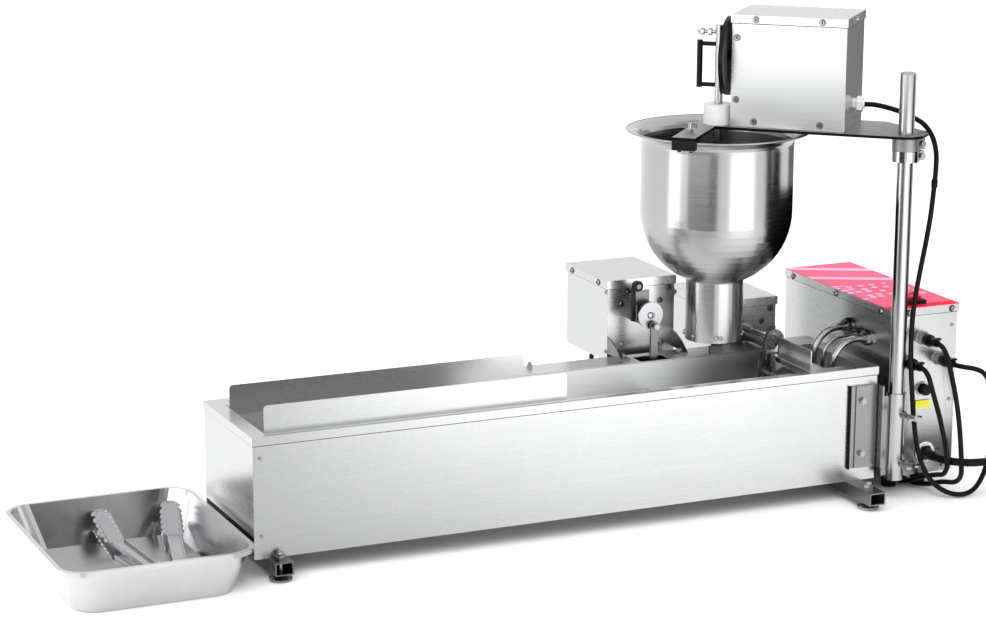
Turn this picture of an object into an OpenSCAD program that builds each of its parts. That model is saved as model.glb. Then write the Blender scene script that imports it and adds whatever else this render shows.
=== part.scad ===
// Table-top donut machine: fryer tank, dough hopper on a swivel arm, control box and tray.
// Millimetres, +Z up. The origin is the middle of the floor area that the machine covers.

/* [Fryer tank] */
// Length of the tank from left end to right end
tank_len = 920; // [880:5:980]
// Depth of the tank from front panel to back panel
tank_depth = 194; // [188:1:204]
// Height of the tank panels above the legs
tank_h = 162.5; // [150:0.5:190]
// Thickness of the stainless sheet
sheet = 1.5; // [1.2:0.1:2]
// Height of the folded edge round every lid and rim
apron_h = 12; // [8:1:14]
// Width of the front rim in front of the frying channel
front_rim = 12; // [10:1:14]
// Width of the left rim
left_rim = 20; // [16:1:26]
// Width of the right rim
right_rim = 20; // [16:1:26]
// Width of the deck behind the frying channel
deck_w = 44; // [40:1:50]
// Width of the bar between the frying channel and the heater well
cross_bar_w = 29; // [24:1:32]
// Length of the heater well opening
well_len = 54; // [48:1:60]
// Depth of the oil pan below the rim
pan_depth = 120; // [100:1:135]

/* [Legs] */
// Width of the leg tubes
leg_w = 25; // [22:1:30]
// Height of the leg tubes
leg_h = 18; // [16:1:24]
// How far the left leg stands out in front of the tank
left_leg_out = 24; // [22:1:50]
// How far the right leg stands out in front of the tank
right_leg_out = 66; // [60:1:75]
// How far the legs reach behind the tank
leg_back_out = 66; // [50:1:90]
// Height of the levelling feet below the legs
foot_h = 9.5; // [8:0.5:14]
// Diameter of the levelling feet
foot_d = 30; // [26:1:36]

/* [Splash guards] */
// Length of the splash guards beside the channel
guard_len = 425; // [350:5:450]
// Height of the rear splash guard
rear_guard_h = 30; // [24:1:40]
// Height of the front splash guard
front_guard_h = 36; // [28:1:45]

/* [Motor boxes] */
// Width of a motor box lid
motor_lid_w = 110; // [104:1:114]
// Depth of a motor box lid
motor_lid_d = 136; // [126:1:140]
// Height of a motor box with its lid
motor_box_h = 118; // [112:1:122]
// Left side of the flipper motor box from the left end of the tank
flip_box_x = 603; // [595:1:606]
// Top of the flipper motor box above the rim
flip_box_top = 105; // [100:0.5:106]
// Left side of the paddle motor box from the left end of the tank
paddle_box_x = 770; // [766:1:774]
// Top of the paddle motor box above the rim
paddle_box_top = 59; // [56:0.5:62]

/* [Control box] */
// Width of the control box lid
control_w = 112; // [104:1:124]
// Depth of the control box lid
control_d = 294.5; // [280:0.5:300]
// Top of the control box above the rim of the tank
control_top = 79; // [74:1:95]
// Height of the control box feet
control_foot_h = 25; // [20:1:30]
// Gap between the tank and the control box
control_gap = 18; // [16:1:24]

/* [Pole and arm] */
// Diameter of the pole
pole_d = 22; // [20:0.5:22]
// Top of the pole above the rim
pole_top = 413; // [408:1:460]
// Angle of the parked arm from the length of the tank
arm_angle = 43; // [41:1:45]
// Bottom of the arm plate above the rim
arm_z = 324; // [322:1:328]
// Thickness of the arm plate
arm_t = 4; // [3:0.5:6]
// Distance from the pole to the hopper axis
reach = 265; // [264:1:268]
// Width of the gearbox case along the arm
gearbox_w = 161; // [150:1:162]
// Depth of the gearbox case across the arm
gearbox_d = 116; // [106:1:118]
// Height of the gearbox case with its lid
gearbox_h = 156; // [150:1:170]
// Diameter of the dispenser crank disc
crank_disc_d = 110; // [90:1:112]
// Stroke of the plunger
stroke = 45; // [30:1:46]
// Diameter of the plunger rod
rod_d = 12; // [10:0.5:13]

/* [Hopper] */
// Outer radius of the hopper bowl
bowl_r = 107; // [100:0.5:108]
// Outer radius of the hopper rim
hopper_rim_r = 128; // [124:0.5:129]
// Outer diameter of the dispensing tube
outlet_d = 82; // [70:1:84]

/* [Tray] */
// Length of the tray across the front of the machine
tray_len = 256; // [230:1:320]
// Depth of the tray from front to back
tray_wid = 312; // [290:1:325]
// Height of the tray
tray_h = 60; // [50:1:70]

/* [Cords] */
// Diameter of the mains cord
mains_d = 11; // [9:0.5:11]
// Diameter of the motor cables
cable_d = 7; // [5:0.5:7]

/* [Hidden] */
$fn = 48;
fit = 0.3;

// Places of the whole machine, worked out from the driving sizes
tray_gap = 10;
rim_z = foot_h + leg_h + tank_h;
screw_out = 2.88;
total_len = tray_len + tray_gap + tank_len + control_gap + control_w + screw_out;
tank_x = tray_len + tray_gap - total_len / 2;
motor_y = tank_depth + 19;
total_depth = right_leg_out + motor_y + motor_lid_d - 2 + 9;
tank_y = right_leg_out - total_depth / 2;

// Openings of the tank, from its left end and its front panel
channel_x1 = tank_len - right_rim - well_len - cross_bar_w;
well_x0 = tank_len - right_rim - well_len;
well_x1 = tank_len - right_rim;
well_y0 = front_rim + 8;
channel_y1 = tank_depth - deck_w;
wave_x = channel_x1 + 10;

// Legs
left_leg_x = 32;
right_leg_x = tank_len - 34;
leg_x = [left_leg_x, right_leg_x];
leg_y0 = [-left_leg_out, -right_leg_out];
leg_y1 = tank_depth + leg_back_out;
foot_inset = [16, 25];
foot_back_inset = 22;
stud_d = 8;

// Motor boxes
box_side = 2;
flip_shaft_x = flip_box_x + 46.7;
flip_shaft_z = flip_box_top - 44;
flip_disc_y = motor_y - 43;
flip_throw = 14.6;
flip_rod_y = flip_disc_y - 6;
flipper_y0 = front_rim + fit;
flipper_x = flip_shaft_x - 12;
flipper_z = -44;
flipper_lever_y = flip_rod_y - 8;
paddle_tab_x = [paddle_box_x + 34, paddle_box_x + 96];
paddle_x = paddle_box_x + 53;
paddle_z = 20;
wheel_x = channel_x1 - 3;
wheel_z = -28;
sprocket_y = channel_y1 - 28;
sprocket_r = 11;
chain_gap = 0.4;

// Control box
box_x0 = tank_len + control_gap;
box_x1 = box_x0 + control_w;
box_y0 = -0.5;
box_y1 = box_y0 + control_d;
box_bottom = control_foot_h - rim_z;
switch_x = box_x0 + 50;
switch_y = 28;
socket_x = [box_x0 + 55, box_x0 + 83, box_x0 + 29];
socket_z = [control_top - 46, control_top - 78, control_top - 78];
reset_x = box_x0 + 58;
reset_z = control_top - 120;
reset_travel = 3;
gland_x = box_x0 + 64;
gland_z = -134;
face_y = box_y0 + sheet;

// Pole and arm
pole_x = tank_len + 23;
pole_y = -14;
sleeve_d = 27;
sleeve_top = -37;
sleeve_bottom = -162;
collar_d = 38;
collar_h = 15;
arm_collar_h = 18;
stop_z = arm_z - arm_collar_h - fit - collar_h;
plate_top = arm_z + arm_t;
case_la0 = 82;
case_la1 = case_la0 + gearbox_w;
case_lb1 = 20;
case_lb0 = case_lb1 - gearbox_d;
crank_la = case_la1 + 4;
crank_t = 6;
crank_z = plate_top + 96;
yoke_la = crank_la + crank_t + 4;
bush_d = 41;
bush_h = 28;

// Hopper heights above the tank rim
hopper_rim_z = 320;
bowl_z = 206;
outlet_r = outlet_d / 2;
neck_z = bowl_z - sqrt(bowl_r * bowl_r - outlet_r * outlet_r);
outlet_z = 20.5;
jaw_r = hopper_rim_r - 1.5;
piston_clear = 0.5;

module at_tank() {
  translate([tank_x, tank_y, rim_z]) children();
}

module at_arm() {
  at_tank() translate([pole_x, pole_y, 0]) rotate([0, 0, 180 - arm_angle]) children();
}

// A block between two corners
module block(a, b) {
  translate(a) cube(b - a);
}

// A sheet box that is open at the top
module open_box(a, b, t) {
  difference() {
    block(a, b);
    block(a + [t, t, t], [b[0] - t, b[1] - t, b[2] + 1]);
  }
}

// A lid with its folded edge
module lid(a, b, t) {
  difference() {
    block(a, b);
    block([a[0] + t, a[1] + t, a[2] - 1], b - [t, t, t]);
  }
}

// A block with four rounded upright corners
module round_block(a, b, r) {
  block([a[0] + r, a[1], a[2]], [b[0] - r, b[1], b[2]]);
  block([a[0], a[1] + r, a[2]], [b[0], b[1] - r, b[2]]);
  for (x = [a[0] + r, b[0] - r], y = [a[1] + r, b[1] - r])
    translate([x, y, a[2]]) cylinder(r = r, h = b[2] - a[2]);
}

// A pan head with a cross recess, its seat at the origin
module screw_head(d = 7) {
  difference() {
    cylinder(d1 = d, d2 = d * 0.72, h = d * 0.36, $fn = 24);
    for (a = [0, 90]) rotate([0, 0, a]) translate([-d * 0.26, -0.45, d * 0.2]) cube([d * 0.52, 0.9, d]);
  }
}

// A hexagon bolt head with its washer, its seat at the origin
module bolt_head(d = 10) {
  cylinder(d = d * 1.25, h = 1, $fn = 24);
  translate([0, 0, 1]) cylinder(d = d, h = d * 0.4, $fn = 6);
}

// Turns a shape that stands on its seat to face the front, the left, the right or the back
module facing_front() {
  rotate([90, 0, 0]) children();
}

module facing_back() {
  rotate([-90, 0, 0]) children();
}

module facing_left() {
  rotate([0, -90, 0]) children();
}

module facing_right() {
  rotate([0, 90, 0]) children();
}

// A quarter bend of a round bar, from +X at the origin down to -Z
module quarter_bend(r, d) {
  translate([0, 0, -r]) rotate([90, 0, 0]) rotate_extrude(angle = 90) translate([r, 0]) circle(d = d);
}

// Sweep of a round tube along points: rings are turned with the least twist
function unit(v) = v / norm(v);
function dot3(a, b) = a[0] * b[0] + a[1] * b[1] + a[2] * b[2];
function tangent(p, i) = unit(p[min(i + 1, len(p) - 1)] - p[max(i - 1, 0)]);
function square_to(v, t) = unit(v - t * dot3(v, t));
function first_side(t) = square_to(abs(t[2]) > 0.9 ? [1, 0, 0] : [0, 0, 1], t);
function sides(p, i) = i == 0 ? [first_side(tangent(p, 0))]
  : let (before = sides(p, i - 1)) concat(before, [square_to(before[i - 1], tangent(p, i))]);
function ring(c, t, s, r, n) = let (q = cross(t, s))
  [for (k = [0:n - 1]) c + r * (cos(360 * k / n) * s + sin(360 * k / n) * q)];
// Points between hand-picked points on a smooth curve through them
function blend4(a, b, c, d, u) = 0.5 * (2 * b + (c - a) * u
  + (2 * a - 5 * b + 4 * c - d) * u * u + (3 * b - a - 3 * c + d) * u * u * u);
function smooth(p, n) = concat([for (i = [0:len(p) - 2], k = [0:n - 1])
  blend4(i == 0 ? 2 * p[0] - p[1] : p[i - 1], p[i], p[i + 1],
    i == len(p) - 2 ? 2 * p[i + 1] - p[i] : p[i + 2], k / n)], [p[len(p) - 1]]);

module sweep(path, d, n) {
  m = len(path);
  s = sides(path, m - 1);
  points = [for (i = [0:m - 1]) each ring(path[i], tangent(path, i), s[i], d / 2, n)];
  walls = [for (i = [0:m - 2], k = [0:n - 1]) each let (a = i * n + k, b = i * n + (k + 1) % n)
    [[a, a + n, b], [b, a + n, b + n]]];
  caps = [for (k = [1:n - 2]) each [[0, k, k + 1], [(m - 1) * n, (m - 1) * n + k + 1, (m - 1) * n + k]]];
  polyhedron(points = points, faces = concat(walls, caps), convexity = 10);
}

// Routes of the cords, from the tank's front left rim corner
plug_tip = face_y - 36;
cable_floor = cable_d / 2 + 0.8 - rim_z;
coil_floor = mains_d / 2 + 0.2 - rim_z;
gland_tip = [pole_x, pole_y, 0] + arm_point(case_la0 - 16, -38, plate_top + 32);
function arm_point(la, lb, z) = [-cos(arm_angle) * la - sin(arm_angle) * lb, sin(arm_angle) * la - cos(arm_angle) * lb, z];
gearbox_route_upper = [gland_tip, [931, 49, 360], [944, 36, 357], [958, 23, 352], [971, 12, 345],
  [983, 2, 335], [991, -6, 319], [995, -10, 298], [995, -11, 276], [993, -12, 256]];
gearbox_route_lower = [[993, -12, 255], [988, -14, 215], [981, -16, 178], [973, -18, 143], [965, -21, 110],
  [959, -24, 80], [956, -26, 45], [956, -28, 5], [959, -29, -35], [963, -30, -75], [969, -31, -112],
  [978, -33, -142], [992, -37, -166], [1008, -43, -179.5], [1024, -50, -185.2], [1042, -52, -185],
  [1058, -50, -178], [1071, -48, -160], [1079, -46, -135], [1083, -43, -105], [1081, -40, -75],
  [1075, -46, -48], [1067, -56, -25], [1053, -64, -9], [1038, -65, -1], [1026, -57, 1], [socket_x[1], -45, 1],
  [socket_x[1], plug_tip, socket_z[1]]];
left_route = [[socket_x[2], plug_tip, socket_z[2]], [socket_x[2], plug_tip - 5, socket_z[2]], [967.6, -48, -1.5],
  [968.8, -54, -8], [971, -56.3, -17], [978, -57, -39], [986, -57.5, -63], [993, -58, -88], [998, -61, -114],
  [1000, -62, -136], [1000, -54, -151], [1000, -34, -158], [997, -11, -166], [993, 15, -178], [989, 42, cable_floor],
  [989, 100, cable_floor], [989, 170, cable_floor],
  [989, 235, cable_floor], [987, 278, cable_floor], [973, 312, cable_floor], [945, 336, cable_floor],
  [905, 352, cable_floor], [850, 362, cable_floor], [790, 372, cable_floor], [738, 382, cable_floor],
  [704, 390, -181], [684, 396, -163], [674, 399, -130], [670, 398, -85], [669, 392, -40], [670, 381, -6],
  [671, 366, 4], [671, 356, 5]];
right_route = [[socket_x[0], plug_tip, socket_z[0]], [socket_x[0], plug_tip - 5, socket_z[0]], [993.7, -48, 30.5],
  [995, -54, 24], [997.3, -56.6, 15], [1003, -59, -8], [1008, -64, -38], [1011, -69, -68], [1013, -73, -100],
  [1014, -76, -132],
  [1017, -71, -152], [1020, -52, -166], [1019, -22, -174], [1012, 0, -182],
  [1004, 22, cable_floor], [1001, 44, cable_floor], [1001, 100, cable_floor],
  [1001, 170, cable_floor], [1001, 235, cable_floor], [1000, 282, cable_floor], [988, 322, cable_floor],
  [960, 352, cable_floor], [922, 372, cable_floor], [890, 384, -184], [868, 391, -170], [856, 395, -144],
  [851, 395, -112], [850, 388, -80], [850, 374, -54], [850, 362, -47], [850, 356, -46]];
motor_gland_tip = [[671, motor_y + motor_lid_d - 2 + 9, 5], [850, motor_y + motor_lid_d - 2 + 9, -46]];
// The coil of spare mains cord lies on the floor beside the control box
coil_x = 1150;
coil_y = -147.6;
coil_turns = 4;
coil_pitch = mains_d + 0.6;
coil_r_in = 4.4 * mains_d;
coil_rings = 24;
coil_half = coil_turns / 2;
function coil_r(u) = coil_r_in + coil_pitch * abs(u - coil_half);
function coil_z(u) = coil_pitch * min(1, max(0, 2 * (u - coil_half) + 0.5));
function coil_point(u) = let (a = 90 - 360 * u)
  [coil_x + coil_r(u) * cos(a), coil_y + coil_r(u) * sin(a), coil_floor + coil_z(u)];
coil_body = [for (k = [0:coil_turns * coil_rings]) coil_point(k / coil_rings)];
coil_last = len(coil_body) - 1;
coil_lead_in = coil_body[0] - mains_d * [1, 0, 0];
coil_lead_out = coil_body[coil_last] + 2 * mains_d * [1, 0, 0];
coil_path = concat([coil_lead_in], coil_body, [coil_lead_out]);
coil_gap = min([for (i = [0:coil_last], j = [i + 12:1:coil_last])
  norm(coil_body[i] - coil_body[j]) - mains_d]);
echo(least_gap_between_coil_turns = coil_gap);

mains_route = [[gland_x, -26, gland_z], [1004.4, -41.5, -134], [1011.5, -55.4, -134], [1022.6, -66.5, -134],
  [1036.5, -73.6, -134], [1052, -76, -134], [1065, -76, -135.7], [1077.1, -76, -140.7], [1087.5, -76, -148.7],
  [1095.5, -76, -159.2], [1103.5, -76, -169.6], [1113.9, -76, -177.6], [1126, -76, -182.6], coil_lead_in];

module front_panel() {
  color("silver") at_tank() {
    block([0, 0, -tank_h], [tank_len, sheet, 0 - sheet]);
    block([0, sheet, -tank_h], [tank_len, 16, sheet - tank_h]);
  }
}

module back_panel() {
  color("silver") at_tank() {
    block([0, tank_depth - sheet, -tank_h], [tank_len, tank_depth, 0 - sheet]);
    block([0, tank_depth - 16, -tank_h], [tank_len, tank_depth - sheet, sheet - tank_h]);
  }
}

module end_panels() {
  color("gainsboro") at_tank() {
    block([0, sheet, -tank_h + 29.5], [sheet, tank_depth - sheet, 0 - sheet]);
    block([sheet, sheet, -tank_h + 29.5], [12, tank_depth - sheet, -tank_h + 31]);
    block([tank_len - sheet, sheet, sheet - tank_h], [tank_len, tank_depth - sheet, 0 - sheet]);
  }
}

module top_deck() {
  color("gainsboro") at_tank() difference() {
    block([-sheet, -sheet, -apron_h], [tank_len + sheet, tank_depth + sheet, 0]);
    block([0, 0, -apron_h - 1], [tank_len, tank_depth, -sheet]);
    block([left_rim, front_rim, -2 * apron_h], [channel_x1, channel_y1, 1]);
    block([well_x0, well_y0, -2 * apron_h], [well_x1, channel_y1, 1]);
    block([flip_shaft_x - 22, channel_y1 + 3, -2 * apron_h], [flip_shaft_x + 22, tank_depth - 14, 1]);
    block([channel_x1 - 1, sprocket_y - 5, -2 * apron_h], [paddle_x + sprocket_r + 6, sprocket_y + 5, 1]);
  }
}

module oil_pan() {
  a = [left_rim - sheet, front_rim - sheet, -pan_depth];
  b = [well_x1 + sheet, channel_y1 + sheet, -2 * sheet];
  color("lightgray") at_tank() {
    difference() {
      open_box(a, b, sheet);
      translate([flipper_x, channel_y1 - 5, flipper_z]) facing_back() cylinder(d = 8 + 2 * fit, h = 10);
    }
    difference() {
      block([a[0] - 6, a[1] - 6, -2 * sheet], [b[0] + 6, b[1] + 1.2, -sheet]);
      block([left_rim, front_rim, -3 * sheet], [well_x1, channel_y1, 0]);
    }
  }
}

module leg_tubes() {
  color("dimgray") at_tank() for (i = [0, 1]) difference() {
    block([leg_x[i] - leg_w / 2, leg_y0[i], -tank_h - leg_h], [leg_x[i] + leg_w / 2, leg_y1, -tank_h]);
    block([leg_x[i] - leg_w / 2 + 2, leg_y0[i] - 1, 2 - tank_h - leg_h],
      [leg_x[i] + leg_w / 2 - 2, leg_y1 + 1, -tank_h - 2]);
    for (y = [leg_y0[i] + foot_inset[i], leg_y1 - foot_back_inset])
      translate([leg_x[i], y, -tank_h - leg_h - 1]) cylinder(d = stud_d + 1, h = leg_h + 2);
  }
}

module levelling_feet() {
  color("darkgray") at_tank() for (i = [0, 1], y = [leg_y0[i] + foot_inset[i], leg_y1 - foot_back_inset])
    translate([leg_x[i], y, -rim_z]) {
      cylinder(d = foot_d, h = 3);
      translate([0, 0, 3]) cylinder(d1 = foot_d - 2, d2 = 16, h = foot_h - 6);
      translate([0, 0, foot_h - 3]) cylinder(d = 13, h = 3, $fn = 6);
      cylinder(d = stud_d, h = foot_h + leg_h + 10);
      translate([0, 0, foot_h + leg_h]) cylinder(d = 14, h = 6, $fn = 6);
    }
}

// An upright guard with a foot flange on the deck and two rounded top corners
module guard(h, drop, flange) {
  r = 5;
  block([0, 0, -drop], [guard_len, sheet, h - r]);
  block([r, 0, h - r], [guard_len - r, sheet, h]);
  for (x = [r, guard_len - r]) translate([x, sheet, h - r]) facing_front() cylinder(r = r, h = sheet);
  block([0, min(0, flange), 0], [guard_len, max(sheet, flange), sheet]);
}

module splash_guards() {
  color("silver") at_tank() {
    translate([left_rim, channel_y1 - sheet - fit, 0]) guard(rear_guard_h, 10, 14);
    translate([left_rim, front_rim + fit, 0]) guard(front_guard_h, 10, -10);
    block([wave_x, front_rim + 14, 0], [wave_x + sheet, sprocket_y - 7, 25]);
    block([wave_x + sheet, front_rim + 14, 0], [wave_x + 12, sprocket_y - 7, sheet]);
  }
}

// Places of the two motor boxes: left side, top, and where the shaft leaves the front
box_x = [flip_box_x, paddle_box_x];
box_top = [flip_box_top, paddle_box_top];
shaft_x = [flip_shaft_x, paddle_x];
shaft_z = [flip_shaft_z, paddle_z];

module motor_cases() {
  color("gainsboro") at_tank() for (i = [0, 1]) difference() {
    open_box([box_x[i] + box_side, motor_y + box_side, box_top[i] - motor_box_h],
      [box_x[i] + motor_lid_w - box_side, motor_y + motor_lid_d - box_side, box_top[i] - box_side], sheet);
    translate([shaft_x[i], motor_y + 10, shaft_z[i]]) facing_front() cylinder(d = 14, h = 20);
  }
}

module motor_lids() {
  color("whitesmoke") at_tank() for (i = [0, 1])
    lid([box_x[i], motor_y, box_top[i] - apron_h],
      [box_x[i] + motor_lid_w, motor_y + motor_lid_d, box_top[i]], box_side);
}

// A gear motor bolted inside a case, its shaft hole along -Y at the origin
module gear_motor(w, d, l) {
  difference() {
    block([-w / 2, 0, -w / 2], [w / 2, 30, w / 2]);
    translate([0, -1, 0]) facing_back() cylinder(d = 10 + 2 * fit, h = 12);
  }
  translate([0, 30, 0]) facing_back() cylinder(d = d, h = l);
}

module deck_gearmotors() {
  inner_y = motor_y + box_side + sheet;
  color("slategray") at_tank() for (i = [0, 1])
    translate([shaft_x[i], inner_y, shaft_z[i]]) gear_motor(64, 50, 55);
}

// A shelf angle that carries a motor box on the back panel
module shelf(x0, x1, z) {
  block([x0, tank_depth, z - 40], [x1, tank_depth + 2, min(z, -apron_h - 1)]);
  block([x0, tank_depth, z - 2], [x1, motor_y + motor_lid_d - 12, z]);
}

// A gusset foot that ties the front corner of a motor box to the deck
module gusset(x) {
  translate([x, 0, 0]) rotate([90, 0, 90]) linear_extrude(height = 1.5)
    polygon([[motor_y - 44, 0], [motor_y + box_side, 0], [motor_y + box_side, 24],
      [motor_y - 8, 22], [motor_y - 24, 15]]);
  block([x, motor_y - 44, 0], [x + 14, motor_y - 22, sheet]);
}

module brackets_and_bearings() {
  face = motor_y + box_side;
  color("gray") at_tank() {
    for (i = [0, 1]) shelf(box_x[i] + 8, box_x[i] + motor_lid_w - 8, box_top[i] - motor_box_h);
    gusset(flip_box_x + box_side);
    translate([2 * (flip_box_x + motor_lid_w / 2), 0, 0]) mirror([1, 0, 0]) gusset(flip_box_x + box_side);
    for (x = paddle_tab_x) {
      block([x, motor_y - 36, 0], [x + 12, face, sheet]);
      block([x, face - sheet, sheet], [x + 12, face, 14]);
    }
    difference() {
      union() {
        block([flip_shaft_x - 13, face - 30, flip_shaft_z - 13], [flip_shaft_x + 13, face, flip_shaft_z + 13]);
        block([flip_shaft_x - 18, face - 30, flip_shaft_z + 13], [flip_shaft_x + 6, face - 26, flip_shaft_z + 33]);
        translate([flip_shaft_x - 15, face - 30, flip_shaft_z + 41]) facing_front() cylinder(d = 7, h = 9);
        block([flip_shaft_x - 18, face - 30, flip_shaft_z + 30], [flip_shaft_x - 6, face - 26, flip_shaft_z + 46]);
      }
      translate([flip_shaft_x, face + 1, flip_shaft_z]) facing_front() cylinder(d = 10 + 2 * fit, h = 40);
    }
    block([pole_x - 200, tank_depth - 31, 0], [pole_x - 180, tank_depth - 26, 8]);
    block([paddle_x - 4, sprocket_y + 6, paddle_z - 16], [paddle_x + 4, face, paddle_z - 10]);
    difference() {
      block([paddle_x - 6, sprocket_y + 6, paddle_z - 16], [paddle_x + 6, sprocket_y + 14, paddle_z + 8]);
      translate([paddle_x, sprocket_y + 20, paddle_z]) facing_front() cylinder(d = 8 + 2 * fit, h = 20);
    }
    for (y = [front_rim + 4, channel_y1 - 20]) difference() {
      block([wheel_x - 9, y, wheel_z - 9], [wheel_x + 9, y + 3, -sheet]);
      translate([wheel_x, y + 5, wheel_z]) facing_front() cylinder(d = 8 + 2 * fit, h = 7);
      block([wheel_x - 10, y - 1, -2 * sheet - 8], [channel_x1, y + 4, 0]);
    }
  }
}

module control_case() {
  a = [box_x0 + sheet, box_y0 + sheet, box_bottom];
  b = [box_x1 - sheet, box_y1 - sheet, control_top - sheet];
  color("lightgray") at_tank() difference() {
    open_box(a, b, sheet);
    for (i = [0:2]) translate([socket_x[i], 10, socket_z[i]]) facing_front() cylinder(d = 12, h = 20);
    translate([reset_x, 10, reset_z]) facing_front() cylinder(d = 12, h = 20);
    translate([gland_x, 10, gland_z]) facing_front() cylinder(d = 14, h = 20);
  }
}

module control_lid() {
  color("hotpink") at_tank() difference() {
    lid([box_x0, box_y0, control_top - apron_h], [box_x1, box_y1, control_top], sheet);
    block([switch_x - 13, switch_y - 10, control_top - 10], [switch_x + 13, switch_y + 10, control_top + 1]);
  }
}

module switch_bezel() {
  color("black") at_tank() difference() {
    union() {
      block([switch_x - 17, switch_y - 14, control_top], [switch_x + 17, switch_y + 14, control_top + 5]);
      block([switch_x - 12.7, switch_y - 9.7, control_top - 18], [switch_x + 12.7, switch_y + 9.7, control_top]);
    }
    block([switch_x - 11, switch_y - 9, control_top - 8], [switch_x + 11, switch_y + 9, control_top + 6]);
  }
}

rocker_tilt = 12;
module switch_rocker() {
  color("red") at_tank() translate([switch_x, switch_y, control_top + 1]) rotate([rocker_tilt, 0, 0]) {
    translate([-10, 0, 0]) rotate([90, 0, 90]) linear_extrude(height = 20)
      polygon([[-7.8, 3], [-6, -3], [6, -3], [7.8, 3], [7.4, 11], [3, 11.5], [0, 9], [-3, 11.5], [-7.4, 11]]);
    translate([-11 + fit, 0, 0]) facing_right() cylinder(d = 4, h = 22 - 2 * fit);
  }
}

module control_feet() {
  color("black") at_tank() for (x = [-24, 24], y = [40, control_d - 40])
    translate([box_x0 + control_w / 2 + x, y, -rim_z]) {
      cylinder(d1 = 20, d2 = 24, h = control_foot_h - 4);
      cylinder(d = 16, h = control_foot_h);
    }
}

module panel_sockets() {
  color("silver") at_tank() {
    for (i = [0:2]) translate([box_x0 + sheet, heater_y[i], heater_z[i]]) facing_left() {
      cylinder(d = heater_d[i] + 14, h = 1.5);
      translate([0, 0, 1.5]) cylinder(d = heater_d[i] + 13, h = 5, $fn = 6);
      translate([0, 0, 6.5]) cylinder(d = heater_d[i] + 5, h = gland_out - 6.5);
    }
    for (i = [0:2]) translate([socket_x[i], face_y, socket_z[i]]) facing_front() {
      cylinder(d = 21, h = 2);
      translate([0, 0, 2]) cylinder(d = 20, h = 3.5, $fn = 6);
      translate([0, 0, 5.5]) cylinder(d = 15, h = 4.5);
      translate([0, 0, -9]) cylinder(d = 11, h = 9);
    }
    translate([reset_x, face_y, reset_z]) facing_front() difference() {
      union() {
        cylinder(d = 21, h = 3);
        translate([0, 0, -10]) cylinder(d = 11, h = 11);
      }
      translate([0, 0, -6]) cylinder(d = 9 + 2 * fit, h = 10);
    }
  }
}

module plugs_and_glands() {
  color("gray") at_tank() {
    for (i = [0:2]) translate([socket_x[i], face_y - 10, socket_z[i]]) facing_front() {
      cylinder(d = 17, h = 9);
      translate([0, 0, 9]) cylinder(d1 = 15, d2 = 12, h = 9);
      translate([0, 0, 18]) cylinder(d = 11, h = 8);
      block([-7.5, 4, 19], [7.5, 6.5, 25]);
    }
    for (i = [0, 1]) translate([motor_gland_tip[i][0], motor_y + motor_lid_d - box_side, motor_gland_tip[i][2]])
      facing_back() {
        cylinder(d = 17, h = 3, $fn = 6);
        cylinder(d = 12, h = motor_gland_tip[i][1] - motor_y - motor_lid_d + box_side);
      }
  }
}

module reset_button() {
  color("black") at_tank() translate([reset_x, face_y - 4 - fit - reset_travel, reset_z]) {
    facing_front() cylinder(d1 = 16, d2 = 14, h = 4);
    facing_back() cylinder(d = 16, h = 1);
    translate([0, 1, 0]) facing_back() cylinder(d = 9, h = 4 + reset_travel);
  }
}

module mains_gland() {
  color("whitesmoke") at_tank() translate([gland_x, face_y, gland_z]) facing_front() {
    cylinder(d = 30, h = 2);
    translate([0, 0, -8]) cylinder(d = 13, h = 8);
    translate([0, 0, 2]) cylinder(d = 22, h = 5, $fn = 6);
    translate([0, 0, 7]) cylinder(d1 = 17, d2 = mains_d + 1.5, h = face_y + 26 - 7);
  }
}

// Heater ends and probe on the left side of the control box
heater_y = [channel_y1 - 38, 60, 86];
heater_z = [31.5, 26, 25];
heater_d = [10.5, 10.5, 6];
gland_out = 10.5;
heater_bend = [40, 38, 32];
heater_drop = [heater_z[0] - 40, heater_z[1] - 38, heater_z[2] - 32];
heater_x = well_x0 + 36;
floor_z = -pan_depth + 12;
low_bend = 20;
loop_x = left_rim + 60;

module heater_tubes() {
  color("dimgray") at_tank() {
    for (i = [0:2]) {
      translate([heater_x + heater_bend[i], heater_y[i], heater_z[i]]) {
        facing_right() cylinder(d = heater_d[i], h = box_x0 + sheet - gland_out - heater_x - heater_bend[i]);
        mirror([1, 0, 0]) quarter_bend(heater_bend[i], heater_d[i]);
      }
    }
    for (i = [0, 1]) {
      translate([heater_x, heater_y[i], floor_z + low_bend])
        cylinder(d = heater_d[i], h = heater_drop[i] - floor_z - low_bend);
      translate([heater_x - low_bend, heater_y[i], floor_z + low_bend]) mirror([0, 0, 1])
        translate([0, 0, low_bend]) quarter_bend(low_bend, heater_d[i]);
      translate([heater_x - low_bend, heater_y[i], floor_z]) facing_left()
        cylinder(d = heater_d[i], h = heater_x - low_bend - loop_x);
    }
    translate([loop_x, (heater_y[0] + heater_y[1]) / 2, floor_z]) rotate([0, 0, 90])
      rotate_extrude(angle = 180) translate([(heater_y[0] - heater_y[1]) / 2, 0]) circle(d = heater_d[0]);
    translate([heater_x, heater_y[2], floor_z + 20]) cylinder(d = heater_d[2], h = heater_drop[2] - floor_z - 20);
    for (x = [loop_x + 40, heater_x - 120]) block([x, heater_y[1] - 4, sheet - pan_depth],
      [x + 3, heater_y[0] + 4, floor_z - heater_d[0] / 2 - fit]);
  }
}

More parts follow.
